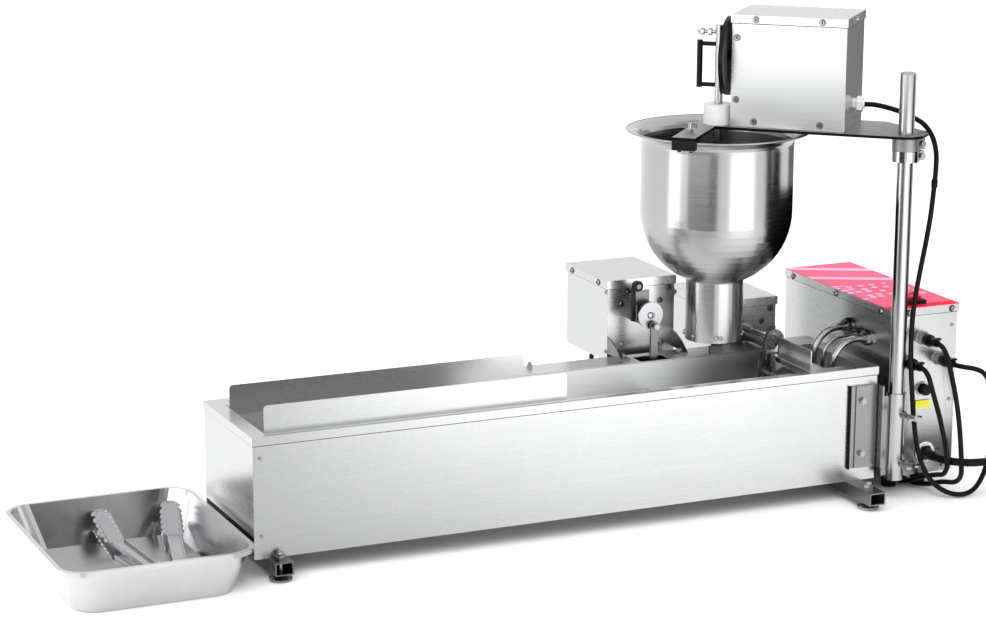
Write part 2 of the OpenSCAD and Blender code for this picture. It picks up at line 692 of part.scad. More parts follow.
module pole_bracket() {
  x0 = tank_len - 44;
  color("gray") at_tank() difference() {
    union() {
      block([x0, -3, -143], [tank_len - 2, 0, -25]);
      block([x0 + 8, -5, -143], [tank_len - 4, -3, -25]);
      block([tank_len - 2, pole_y - 4, -143], [tank_len + 1, 0, -25]);
      block([tank_len + 1, pole_y - 1.5, -155], [pole_x - sleeve_d / 2 + 1.2, pole_y + 1.5, -40]);
    }
    at_pole_hole();
  }
}

// The room that the sleeve takes out of its bracket
module at_pole_hole() {
  translate([pole_x, pole_y, sleeve_bottom - 1]) cylinder(d = sleeve_d, h = sleeve_top - sleeve_bottom + 2);
}

module pole_sleeve() {
  color("silver") at_tank() translate([pole_x, pole_y, 0]) difference() {
    translate([0, 0, sleeve_bottom]) cylinder(d = sleeve_d, h = sleeve_top - sleeve_bottom);
    translate([0, 0, sleeve_bottom + 4]) cylinder(d = pole_d + 2 * fit, h = sleeve_top - sleeve_bottom);
    for (z = thumb_z) translate([0, 0, z]) thumb_turn() cylinder(d = 6 + 2 * fit, h = sleeve_d);
  }
}

// Thumb screws point forward and slightly to the right
thumb_z = [-66, -136];
module thumb_turn() {
  rotate([0, 0, 12]) facing_front() children();
}

module thumb_screw(z) {
  at_tank() translate([pole_x, pole_y, z]) thumb_turn() {
    translate([0, 0, pole_d / 2 + 0.2]) cylinder(d = 6, h = 26);
    translate([0, 0, sleeve_d / 2 + 0.5]) cylinder(d = 11, h = 4, $fn = 6);
    translate([0, 0, 32]) cylinder(d = 9, h = 8);
    for (s = [-1, 1]) translate([s * 7, 0, 37]) rotate([90, 0, 0]) translate([0, 0, -1.5]) cylinder(d = 11, h = 3);
  }
}

module thumb_screw_upper() {
  color("silver") thumb_screw(thumb_z[0]);
}

module thumb_screw_lower() {
  color("silver") thumb_screw(thumb_z[1]);
}

module pole() {
  color("silver") at_tank() translate([pole_x, pole_y, sleeve_bottom + 4]) {
    cylinder(d = pole_d, h = pole_top - sleeve_bottom - 6);
    translate([0, 0, pole_top - sleeve_bottom - 6]) cylinder(d1 = pole_d, d2 = pole_d - 4, h = 2);
  }
}

// Screws of the fixed boxes and the tank
flip_screws = [[34, -18], [24, -35], [24, -95], [85, -35], [85, -95], [99, -18]];
module case_screws() {
  face = motor_y + box_side;
  back = motor_y + motor_lid_d;
  color("silver") at_tank() {
    for (s = flip_screws, i = [0, 1]) if (box_top[i] + s[1] > 16)
      translate([box_x[i] + s[0], face, box_top[i] + s[1]]) facing_front() screw_head();
    for (i = [0, 1]) {
      for (y = [motor_y + 28, back - 23]) {
        translate([box_x[i], y, box_top[i] - 7]) facing_left() screw_head();
        translate([box_x[i] + motor_lid_w, y, box_top[i] - 7]) facing_right() screw_head();
      }
      for (x = [25, motor_lid_w - 25]) translate([box_x[i] + x, back, box_top[i] - 7]) facing_back() screw_head();
    }
    for (z = [-17, -103]) translate([flip_box_x + box_side, motor_y + 6, flip_box_top + z]) facing_left() screw_head(6);
    for (y = [25, 147, 270]) translate([box_x0, y, control_top - 7]) facing_left() screw_head(8);
    for (y = [25, 147, 270]) translate([box_x1, y, control_top - 7]) facing_right() screw_head(8);
    for (x = [30, control_w - 12]) translate([box_x0 + x, box_y0, control_top - 7]) facing_front() screw_head(8);
    for (x = [20, control_w - 20]) translate([box_x0 + x, box_y1, control_top - 7]) facing_back() screw_head(8);
    translate([box_x1 - 27, face_y, -131]) facing_front() screw_head(6);
    translate([box_x1 - 20, face_y, -156]) facing_front() screw_head(6);
    for (z = [-29, -132]) translate([10, 0, z]) facing_front() cylinder(d = 5, h = 1.2);
    for (z = [-46, -122]) translate([tank_len - 26, -5, z]) facing_front() bolt_head(9);
    translate([tank_len / 2 + 10, tank_depth - 10, 0]) {
      cylinder(d = 9, h = 4, $fn = 6);
      cylinder(d = 5, h = 8);
    }
    for (x = [flip_box_x + box_side + 8, flip_box_x + motor_lid_w - box_side - 8])
      translate([x, motor_y - 32, sheet]) bolt_head(8);
    for (x = paddle_tab_x) translate([x + 6, motor_y - 28, sheet]) bolt_head(7);
  }
}

// Tray: sloped sides, round corners and a rolled rim
tray_x1 = -tray_gap;
tray_x0 = tray_x1 - tray_len;
tray_y0 = -60;
tray_r = 38;
tray_slope = 23;
tray_lip = 5;

module tray_form(top, low, z0, z1) {
  translate([tray_x0, tray_y0, -rim_z]) hull() {
    translate([0, 0, z1 - 0.5]) linear_extrude(height = 0.5) tray_outline(top, tray_r - top);
    translate([0, 0, z0]) linear_extrude(height = 0.5) tray_outline(low, tray_r - 6);
  }
}

module tray_outline(inset, r) {
  for (x = [inset + r, tray_len - inset - r], y = [inset + r, tray_wid - inset - r])
    translate([x, y]) circle(r = r, $fn = 32);
}

module tray() {
  color("whitesmoke") at_tank() {
    difference() {
      tray_form(tray_lip, tray_slope, 0, tray_h);
      tray_form(tray_lip + 1.2, tray_slope + 1.2, 1.2, tray_h + 0.6);
    }
    translate([tray_x0, tray_y0, tray_h - rim_z - 1.5]) difference() {
      round_block([0, 0, 0], [tray_len, tray_wid, 1.5], tray_r);
      round_block([tray_lip + 1, tray_lip + 1, -1], [tray_len - tray_lip - 1, tray_wid - tray_lip - 1, 3],
        tray_r - tray_lip - 1);
    }
    translate([tray_x0, tray_y0, tray_h - rim_z - 6]) difference() {
      round_block([0, 0, 0], [tray_len, tray_wid, 5], tray_r);
      round_block([1.5, 1.5, -1], [tray_len - 1.5, tray_wid - 1.5, 6], tray_r - 1.5);
    }
  }
}

// The chain round the two paddle sprockets
module chain_loop(r, y0, y1) {
  dx = paddle_x - wheel_x;
  dz = paddle_z - wheel_z;
  translate([wheel_x, y1, wheel_z]) rotate([0, atan2(dx, dz), 0]) {
    facing_front() cylinder(r = r, h = y1 - y0);
    block([-r, y0 - y1, 0], [r, 0, norm([dx, dz])]);
    translate([0, 0, norm([dx, dz])]) facing_front() cylinder(r = r, h = y1 - y0);
  }
}

module drive_chain() {
  color("dimgray") at_tank() difference() {
    chain_loop(sprocket_r + chain_gap + 3, sprocket_y - 3, sprocket_y + 3);
    chain_loop(sprocket_r + chain_gap, sprocket_y - 4, sprocket_y + 4);
  }
}

module sprocket(r) {
  difference() {
    cylinder(r = r, h = 4);
    for (a = [0:30:330]) rotate([0, 0, a]) translate([r + 0.6, 0, -1]) cylinder(d = 3.2, h = 6, $fn = 16);
  }
}

module paddle_shaft() {
  color("silver") at_tank() translate([paddle_x, 0, paddle_z]) {
    translate([0, motor_y + box_side + 10, 0]) facing_front() cylinder(d = 8, h = motor_y + box_side + 10 - sprocket_y + 4);
    translate([0, sprocket_y + 2, 0]) facing_front() sprocket(sprocket_r);
    translate([0, motor_y - 4, 0]) facing_front() cylinder(d = 13, h = 26);
    translate([0, sprocket_y + 26, 0]) facing_front() cylinder(d = 12, h = 10);
  }
}

module paddle_wheel() {
  y0 = front_rim + 4;
  color("lightgray") at_tank() translate([wheel_x, 0, wheel_z]) {
    translate([0, sprocket_y + 12, 0]) facing_front() cylinder(d = 8, h = sprocket_y + 12 - y0 + 3);
    translate([0, sprocket_y + 2, 0]) facing_front() sprocket(sprocket_r);
    for (a = [0:60:300]) rotate([0, a, 0]) block([-0.75, y0 + 12, 2], [0.75, sprocket_y - 14, 22]);
  }
}

module flip_crank() {
  face = motor_y + box_side;
  color("silver") at_tank() translate([flip_shaft_x, 0, flip_shaft_z]) {
    translate([0, face + 10, 0]) facing_front() cylinder(d = 10, h = face + 10 - flip_disc_y);
    translate([0, flip_disc_y + 8, 0]) facing_front() cylinder(d = 20, h = 5);
    translate([0, flip_disc_y + 3, 0]) facing_front() difference() {
      cylinder(d = 38, h = 5);
      translate([0, 0, 4]) cylinder(d = 12, h = 2);
    }
    translate([3.3, flip_disc_y + 2, -sqrt(flip_throw * flip_throw - 3.3 * 3.3)]) facing_front() {
      cylinder(d = 5, h = 17);
      translate([0, 0, 14]) cylinder(d = 9, h = 4, $fn = 6);
    }
  }
}

module flip_rod() {
  px = flip_shaft_x + 3.3;
  pz = flip_shaft_z - sqrt(flip_throw * flip_throw - 3.3 * 3.3);
  color("gray") at_tank() difference() {
    union() {
      translate([px, flip_rod_y + 2, pz]) facing_front() cylinder(d = 13, h = 4);
      block([px - 5.5, flip_rod_y - 2, flipper_z - 6], [px + 5.5, flip_rod_y + 2, pz]);
    }
    translate([px, flip_rod_y + 3, pz]) facing_front() cylinder(d = 5 + 2 * fit, h = 6);
  }
}

module swing_lever() {
  face = motor_y + box_side;
  color("black") at_tank() translate([flip_shaft_x - 15, face - 30 - fit, flip_shaft_z + 41]) difference() {
    union() {
      facing_front() cylinder(d = 15, h = 7);
      block([-8.5, -6, -50], [-3.5, 0, -2]);
    }
    translate([0, 1, 0]) facing_front() cylinder(d = 7 + 2 * fit, h = 12);
  }
}

// The turning fingers on a cross shaft that passes the pan wall
module flipper() {
  y1 = flipper_lever_y + 4;
  color("silver") at_tank() translate([flipper_x, 0, flipper_z]) {
    translate([0, y1, 0]) facing_front() cylinder(d = 8, h = y1 - flipper_y0);
    for (k = [0:6]) translate([0, flipper_y0 + 14 + k * (channel_y1 - flipper_y0 - 28) / 6, 0])
      rotate([0, -115, 0]) cylinder(d = 4, h = 62);
    translate([0, y1, 0]) facing_front() cylinder(d = 14, h = 4);
    block([0, flipper_lever_y, -5], [16, y1, 5]);
    translate([15, flip_rod_y - 2 - fit, 0]) facing_front() cylinder(d = 5, h = 4);
  }
}

module stop_collar() {
  color("silver") at_tank() translate([pole_x, pole_y, stop_z]) collar();
}

// A clamp collar with its screw on the right side
module collar(h = collar_h) {
  difference() {
    union() {
      cylinder(d = collar_d, h = h);
      block([14, -9, 1], [collar_d / 2 + 6, 3, h - 1]);
    }
    translate([0, 0, -1]) cylinder(d = pole_d + 2 * fit, h = h + 2);
    block([8, -3.8, -1], [collar_d, -2.2, h + 1]);
  }
  translate([collar_d / 2 + 1, -9, h / 2]) facing_front() cylinder(d = 8, h = 5);
}

module arm_plate() {
  color("dimgray") {
    at_arm() difference() {
      translate([0, 0, arm_z]) linear_extrude(height = arm_t) polygon([[-27, -20], [-24, 8], [-12, 22], [4, 26],
        [reach - 3, 26], [reach - 3, 134], [reach + 30, 134], [reach + 30, -34], [reach + 22, -94],
        [46, case_lb0], [-10, -46], [-22, -34]]);
      translate([0, 0, arm_z - 1]) cylinder(d = pole_d + 2 * fit, h = arm_t + 2);
      translate([reach, 0, arm_z - 1]) cylinder(d = rod_d + 3, h = arm_t + 2);
    }
    at_tank() translate([pole_x, pole_y, arm_z - arm_collar_h]) collar(arm_collar_h);
  }
}

module gearbox_case() {
  color("gainsboro") at_arm() difference() {
    open_box([case_la0, case_lb0, plate_top], [case_la1, case_lb1, plate_top + gearbox_h - sheet], sheet);
    translate([case_la1 - 10, 0, crank_z]) facing_right() cylinder(d = 14 + 2 * fit, h = 20);
    translate([case_la0 - 5, -38, plate_top + 32]) facing_right() cylinder(d = 9, h = 10);
  }
}

module gearbox_lid() {
  z = plate_top + gearbox_h;
  color("whitesmoke") at_arm() lid([case_la0 - sheet, case_lb0 - sheet, z - apron_h],
    [case_la1 + sheet, case_lb1 + sheet, z], sheet);
}

module dispenser_gearmotor() {
  color("slategray") at_arm() {
    difference() {
      block([case_la1 - sheet - 45, -40, crank_z - 40], [case_la1 - sheet, case_lb1 - sheet - 0.5, crank_z + 40]);
      translate([case_la1 - 30, 0, crank_z]) facing_right() cylinder(d = 14 + 2 * fit, h = 40);
    }
    translate([case_la1 - sheet - 45, -10, crank_z]) facing_left() cylinder(d = 52, h = 80);
    block([case_la1 - sheet - 42, -38, plate_top + sheet], [case_la1 - sheet - 4, 10, crank_z - 40]);
  }
}

// Hopper wall: outlet tube, round bowl, straight wall and flared rim
hopper_t = 1.5;
function bowl_arc(r, low, n) = [for (k = [0:n]) let (a = low + (0 - low) * k / n) [r * cos(a), bowl_z + r * sin(a)]];
function flare(r0, r1, z0, z1, n) = [for (k = [0:n]) let (a = 90 * k / n) [r0 + (r1 - r0) * (1 - cos(a)), z0 + (z1 - z0) * sin(a)]];

module hopper() {
  inner = outlet_r - hopper_t;
  outer_low = -acos(outlet_r / bowl_r);
  inner_low = -acos(inner / (bowl_r - hopper_t));
  outside = concat([[outlet_r, outlet_z]], bowl_arc(bowl_r, outer_low, 12),
    flare(bowl_r, hopper_rim_r, hopper_rim_z - 20, hopper_rim_z - hopper_t, 6), [[hopper_rim_r, hopper_rim_z]]);
  inside = concat([[inner, outlet_z]], bowl_arc(bowl_r - hopper_t, inner_low, 12),
    flare(bowl_r - hopper_t, hopper_rim_r - hopper_t, hopper_rim_z - 20, hopper_rim_z, 6));
  color("silver") at_arm() translate([reach, 0, 0]) {
    rotate_extrude($fn = 96) polygon(concat(outside, [for (k = [len(inside) - 1:-1:0]) inside[k]]));
    for (a = [20:90:290]) rotate([0, 0, a]) translate([outlet_r - 0.4, 0, outlet_z + 8]) facing_right() screw_head(8);
  }
}

module guide_bush() {
  color("white") at_arm() translate([reach, 0, plate_top]) difference() {
    cylinder(d = bush_d, h = bush_h);
    translate([0, 0, -1]) cylinder(d = rod_d + 2 * fit, h = bush_h + 2);
  }
}

module rim_clamp() {
  color("black") at_arm() difference() {
    block([reach - 3, hopper_rim_r - 24, hopper_rim_z - 10], [reach + 30, hopper_rim_r + 6, arm_z]);
    translate([reach, 0, hopper_rim_z - 20]) cylinder(r = hopper_rim_r + fit, h = 20 + fit);
  }
  color("black") at_arm() intersection() {
    block([reach - 3, hopper_rim_r - 40, hopper_rim_z - 10], [reach + 30, hopper_rim_r + 6, hopper_rim_z - 2.2]);
    translate([reach, 0, hopper_rim_z - 10]) difference() {
      cylinder(r = hopper_rim_r + 3, h = 7.8 - fit);
      translate([0, 0, -1]) cylinder(r = hopper_rim_r - 6, h = 20);
    }
  }
}

module arm_screws() {
  top = plate_top + gearbox_h;
  front = case_lb1;
  color("silver") at_arm() {
    for (la = [case_la0 + 34, case_la1 - 34]) {
      translate([la, front + sheet, top - 6]) facing_back() screw_head();
      translate([la, case_lb0 - sheet, top - 6]) facing_front() screw_head();
      translate([la, front, plate_top + 8]) facing_back() screw_head();
    }
    for (z = [38, 124]) translate([case_la1 - 8, front, plate_top + z]) facing_back() screw_head();
    translate([case_la0 - sheet, -40, top - 6]) facing_left() screw_head();
    for (la = [case_la0 + 30, case_la0 + 100]) translate([la, -20, arm_z]) mirror([0, 0, 1]) bolt_head(9);
    for (la = [5, 22]) translate([reach + la, sqrt(jaw_r * jaw_r - la * la), hopper_rim_z - 10])
      mirror([0, 0, 1]) bolt_head(6);
  }
}

module gearbox_gland() {
  color("white") at_arm() translate([case_la0, -38, plate_top + 32]) facing_left() {
    cylinder(d = 16, h = 5, $fn = 6);
    translate([0, 0, 5]) cylinder(d = 12, h = 3);
    translate([0, 0, 8]) cylinder(d1 = 15, d2 = 11, h = 8, $fn = 24);
    translate([0, 0, -5]) cylinder(d = 8, h = 5);
  }
}

module dispenser_crank() {
  color("black") at_arm() translate([0, 0, crank_z]) {
    translate([case_la1 - 25, 0, 0]) facing_right() cylinder(d = 14, h = 25 + crank_la - case_la1);
    translate([crank_la, 0, 0]) facing_right() difference() {
      cylinder(d = crank_disc_d, h = crank_t);
      translate([0, 0, crank_t - 1]) cylinder(d = 20, h = 2);
    }
    translate([crank_la + crank_t, 0, -stroke / 2]) facing_right() cylinder(d = 8, h = 3.5);
  }
}

module plunger() {
  tip = outlet_z + 3;
  top = plate_top + 138;
  color("silver") at_arm() {
    translate([reach, 0, tip]) cylinder(d = rod_d, h = top - tip);
    translate([reach, 0, tip + 6]) cylinder(r = outlet_r - hopper_t - piston_clear, h = 24);
    translate([reach, 0, tip]) cylinder(r = outlet_r - 14, h = 3);
    block([yoke_la, -9, crank_z - stroke / 2 - 8], [reach, 9, crank_z - stroke / 2 + 8]);
    translate([reach + rod_d / 2 - 1, 0, plate_top + 128]) facing_right() {
      cylinder(d = 5, h = 26);
      translate([0, 0, 6]) cylinder(d = 10, h = 5, $fn = 6);
      translate([0, 0, 17]) cylinder(d = 10, h = 5, $fn = 6);
    }
  }
}

module lift_handle() {
  z = plate_top + 50;
  color("black") at_arm() {
    translate([reach + 28, 0, z]) cylinder(d = 8, h = 66);
    for (h = [4, 61]) translate([reach + rod_d / 2, 0, z + h]) facing_right() cylinder(d = 6, h = 26 - rod_d / 2);
  }
}

module wing_screw() {
  color("silver") at_arm() translate([reach + 16, hopper_rim_r - 37, plate_top]) {
    cylinder(d = 10, h = 5, $fn = 6);
    cylinder(d = 5, h = 14);
    for (s = [-1, 1]) translate([s * 6, 1.2, 10]) facing_front() cylinder(d = 9, h = 2.4);
  }
}

// One arm of a pair of tongs: a channel bar with a broad bent head, from its hinge end at the origin
tong_bar = 128;
tong_head = 50;
module tong_arm(rise) {
  block([0, -9, 0], [tong_bar, 9, 1.6]);
  for (y = [-9, 7.6]) block([4, y, 1.6], [tong_bar - 4, y + 1.4, 5]);
  translate([tong_bar, 0, 0]) rotate([0, -rise, 0]) {
    block([-1, -11, 0], [tong_head, 11, 1.6]);
    translate([tong_head, 0, 0]) cylinder(r = 11, h = 1.6);
  }
}

// Where each pair of tongs lies in the tray: its hinge, its direction and its lift off the tray floor
tong_x = [-112, -86];
tong_y = [32, 34];
tong_turn = [99, 77];
tong_rise = 9;
tong_open = 4;
module at_tong(i) {
  at_tank() translate([tong_x[i], tong_y[i], 1.2 + fit - rim_z]) rotate([0, 0, tong_turn[i]]) children();
}

module tongs_lower_arms() {
  color("silver") for (i = [0, 1]) at_tong(i) {
    tong_arm(20);
    for (y = [-9, 6]) block([-8, y, 0], [4, y + 3, tong_rise + 4]);
  }
}

module tongs_upper_arm(i) {
  color("silver") at_tong(i) translate([-2, 0, tong_rise]) rotate([0, -tong_open, 0]) {
    translate([8, 0, 0]) tong_arm(26);
    block([0, -6 + fit, -1], [9, 6 - fit, 1.6]);
    translate([0, 6 - fit, 0]) facing_front() cylinder(d = 5, h = 12 - 2 * fit);
  }
}

module tongs_front_arm() {
  tongs_upper_arm(0);
}

module tongs_rear_arm() {
  tongs_upper_arm(1);
}

module gearbox_cable_upper() {
  color("black") at_tank() sweep(smooth(gearbox_route_upper, 3), cable_d, 8);
}

module gearbox_cable_lower() {
  color("black") at_tank() sweep(smooth(gearbox_route_lower, 2), cable_d, 8);
}

module motor_cable_left() {
  color("black") at_tank() sweep(smooth(left_route, 2), cable_d, 8);
}

module motor_cable_right() {
  color("black") at_tank() sweep(smooth(right_route, 2), cable_d, 8);
}

module mains_cord() {
  color("black") at_tank() sweep(smooth(mains_route, 2), mains_d, 8);
}

module mains_coil() {
  color("black") at_tank() sweep(coil_path, mains_d, 6);
}

module mains_plug() {
  color("black") at_tank() translate(coil_lead_out) {
    facing_right() cylinder(d1 = mains_d + 1, d2 = 16, h = 26);
    round_block([26, -12, -17], [62, 12, 17], 5);
    for (z = [-9.5, 9.5]) block([62, -3, z - 1], [80, 3, z + 1]);
    translate([62, 7, 0]) facing_right() cylinder(d = 4.8, h = 20);
  }
}

front_panel();
back_panel();
end_panels();
top_deck();
oil_pan();
leg_tubes();
levelling_feet();
splash_guards();
motor_cases();
motor_lids();
deck_gearmotors();
brackets_and_bearings();
control_case();
control_lid();
switch_bezel();
switch_rocker();
control_feet();
panel_sockets();
plugs_and_glands();
reset_button();
mains_gland();
heater_tubes();
pole_bracket();
pole_sleeve();
pole();
case_screws();
tray();
drive_chain();
stop_collar();
arm_plate();
gearbox_case();
gearbox_lid();
dispenser_gearmotor();
hopper();
guide_bush();
rim_clamp();
arm_screws();
gearbox_gland();
dispenser_crank();
plunger();
lift_handle();
flip_crank();
flip_rod();
swing_lever();
flipper();
paddle_shaft();
paddle_wheel();
thumb_screw_upper();
thumb_screw_lower();
wing_screw();
tongs_lower_arms();
tongs_front_arm();
tongs_rear_arm();
gearbox_cable_upper();
gearbox_cable_lower();
motor_cable_left();
motor_cable_right();
mains_cord();
mains_coil();
mains_plug();
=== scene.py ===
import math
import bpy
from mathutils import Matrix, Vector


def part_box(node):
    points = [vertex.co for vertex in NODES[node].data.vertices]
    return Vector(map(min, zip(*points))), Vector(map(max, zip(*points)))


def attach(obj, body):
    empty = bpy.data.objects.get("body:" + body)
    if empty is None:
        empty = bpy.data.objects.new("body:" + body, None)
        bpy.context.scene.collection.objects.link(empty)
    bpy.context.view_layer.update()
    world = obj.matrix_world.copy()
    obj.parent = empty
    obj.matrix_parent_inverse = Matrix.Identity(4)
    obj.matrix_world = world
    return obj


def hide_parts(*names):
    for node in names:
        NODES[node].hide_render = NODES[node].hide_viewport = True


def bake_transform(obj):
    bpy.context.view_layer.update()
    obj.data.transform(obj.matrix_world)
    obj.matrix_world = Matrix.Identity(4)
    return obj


bl_info = {
    "name": "Donut machine dressing",
    "version": (1, 0, 0),
    "blender": (4, 5, 0),
    "location": "View3D > Sidebar > Donut machine",
    "description": "Finishes, cables, fittings and studio stage for a counter-top donut machine",
    "category": "Object",
}

import bmesh
import bpy
from bpy.props import FloatProperty, FloatVectorProperty, IntProperty, PointerProperty
from mathutils import Matrix, Vector

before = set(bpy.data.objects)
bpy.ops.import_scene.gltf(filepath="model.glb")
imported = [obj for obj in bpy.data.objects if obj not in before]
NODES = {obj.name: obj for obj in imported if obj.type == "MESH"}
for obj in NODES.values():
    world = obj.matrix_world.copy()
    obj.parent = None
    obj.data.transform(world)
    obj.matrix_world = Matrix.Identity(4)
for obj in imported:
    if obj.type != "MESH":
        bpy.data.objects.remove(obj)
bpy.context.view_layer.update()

# ---------------------------------------------------------------- places

TANK_ORIGIN = Vector((-393.44, -145.0, 190.0))  # front left corner of the tank rim
POLE = (943.0, -14.0)  # axes of the pole and the hopper, from that corner
HOPPER = (749.2, 166.7)
ARM_ALONG = (-0.73135, 0.68200)  # from the pole to the hopper
ARM_ACROSS = (-0.68200, -0.73135)  # square to it, towards the front left
SHELF = -185.7  # where a 7 mm cable lies on the counter
CAMERA_PLACE = (-1.48464, -3.3308, 1.1457)
CAMERA_YAW, CAMERA_PITCH, CAMERA_ROLL = -24.07, -13.25, 0.20  # degrees
CAMERA_SIDE = 241.2  # degrees, the camera's direction seen from above the hopper


def tank(x, y, z):
    """A place measured in millimetres from the rim's front left corner."""
    return (Vector((x, y, z)) + TANK_ORIGIN) / 1000


def arm(along, across, z):
    """A place measured in millimetres along and across the swinging arm."""
    return tank(
        POLE[0] + ARM_ALONG[0] * along + ARM_ACROSS[0] * across,
        POLE[1] + ARM_ALONG[1] * along + ARM_ACROSS[1] * across,
        z,
    )


# ---------------------------------------------------------------- finishes


def even(value):
    """The same number three times, as a grey or as a scale."""
    return (value, value, value)


def arithmetic(operation, swapped=False):
    """A method of Value that does one step of arithmetic."""

    def step(self, other):
        return self.math(operation, *((other, self) if swapped else (self, other)))

    return step


class Value:
    """A node's socket that takes part in plain arithmetic."""

    def __init__(self, finish, socket):
        self.finish = finish
        self.socket = socket

    def math(self, operation, *values):
        kind = {"operation": operation}
        return self.finish.node("ShaderNodeMath", kind, dict(enumerate(values)))

    __add__ = arithmetic("ADD")
    __radd__ = arithmetic("ADD", swapped=True)
    __sub__ = arithmetic("SUBTRACT")
    __rsub__ = arithmetic("SUBTRACT", swapped=True)
    __mul__ = arithmetic("MULTIPLY")
    __rmul__ = arithmetic("MULTIPLY", swapped=True)
    __gt__ = arithmetic("GREATER_THAN")
    __lt__ = arithmetic("LESS_THAN")

    def wave(self):
        return self.math("SINE", self)

    def between(self, low, high):
        """0 below low, 1 above high, smooth in the middle."""
        return self.finish.node(
            "ShaderNodeMapRange",
            {"interpolation_type": "SMOOTHSTEP"},
            {"Value": self, "From Min": low, "From Max": high},
        )


class Finish:
    """A material built from its own nodes, in the frame's own coordinates."""

    def __init__(self, name, **fixed):
        self.material = bpy.data.materials.new(name)
        self.material.use_nodes = True
        self.tree = self.material.node_tree
        self.shader = self.tree.nodes["Principled BSDF"]
        self.coordinates = None
        for socket, value in fixed.items():
            self.feed(self.shader.inputs[socket.replace("_", " ")], value)

    def feed(self, socket, value):
        if isinstance(value, Value):
            self.tree.links.new(value.socket, socket)
        elif hasattr(socket.default_value, "__len__") and len(socket.default_value) == 4:
            socket.default_value = (*value[:3], 1.0)
        else:
            socket.default_value = value

    def node(self, kind, settings=None, values=None, output=0):
        made = self.tree.nodes.new(kind)
        for name, setting in (settings or {}).items():
            setattr(made, name, setting)
        for name, value in (values or {}).items():
            self.feed(made.inputs[name], value)
        return Value(self, made.outputs[output])

    def place(self, scale=even(1.0), shift=even(0.0)):
        if self.coordinates is None:
            self.coordinates = self.node("ShaderNodeTexCoord", output="Object")
        kind = "ShaderNodeVectorMath"
        moved = self.node(kind, {"operation": "ADD"}, {0: self.coordinates, 1: shift})
        return self.node(kind, {"operation": "MULTIPLY"}, {0: moved, 1: scale})

    def axis(self, letter):
        return self.node("ShaderNodeSeparateXYZ", values={0: self.place()}, output=letter)

    def noise(self, scale, detail=3.0, roughness=0.55, shift=even(0.0)):
        place = self.place(scale, shift)
        values = {"Vector": place, "Scale": 1.0, "Detail": detail, "Roughness": roughness}
        return self.node("ShaderNodeTexNoise", {"noise_dimensions": "3D"}, values)

    def blend(self, factor, first, second):
        values = {0: factor, 6: first, 7: second}
        return self.node("ShaderNodeMix", {"data_type": "RGBA"}, values, output=2)

    def bump(self, height, strength, distance=0.0004):
        values = {"Height": height, "Strength": strength, "Distance": distance}
        self.surface(Normal=self.node("ShaderNodeBump", values=values))

    def surface(self, **sockets):
        for socket, value in sockets.items():
            self.feed(self.shader.inputs[socket.replace("_", " ")], value)


FINISHES = {}


def finish(name):
    """The finished material of that name, made once."""
    if name not in FINISHES:
        if name in STEELS:
            made = plain_steel(name)
        elif name in MOULDINGS:
            made = moulding(name)
        else:
            made = MAKERS[name]()
        FINISHES[name] = made.material
    return FINISHES[name]


def shade(colour, amount):
    return tuple(min(1.0, part * amount) for part in colour)


RELIEF_SHARE = 0.22  # of a steel's relief, so that its lines stay finer than a scratch


def steel(name, colour, roughness, grain, streak=0.12, cloud=0.10, relief=0.10, spun=0.0):
    """Stainless steel with brushing lines along one way, handling marks and a slight ripple."""
    made = Finish(name, Metallic=1.0, IOR=2.5, Anisotropic=spun, Anisotropic_Rotation=0.25)
    lines = made.noise(grain, detail=4.0, roughness=0.7)
    broad = made.noise(tuple(part * 0.22 for part in grain), detail=2.0, shift=(0.3, 0.1, 0.7))
    marks = made.noise(even(7.0), detail=5.0, roughness=0.6, shift=(1.7, 0.4, 0.2))
    ripple = made.noise(even(2.1), detail=1.0)
    tone = (lines * 0.55 + broad * 0.25 + marks * 0.2).between(0.32, 0.68)
    made.surface(
        Base_Color=made.blend(tone, shade(colour, 0.96), shade(colour, 1.03)),
        Roughness=(lines - 0.5) * streak + (marks - 0.5) * cloud + roughness,
    )
    made.bump(lines * 0.5 + broad * 0.2 + ripple * 0.3, relief * RELIEF_SHARE)
    return made


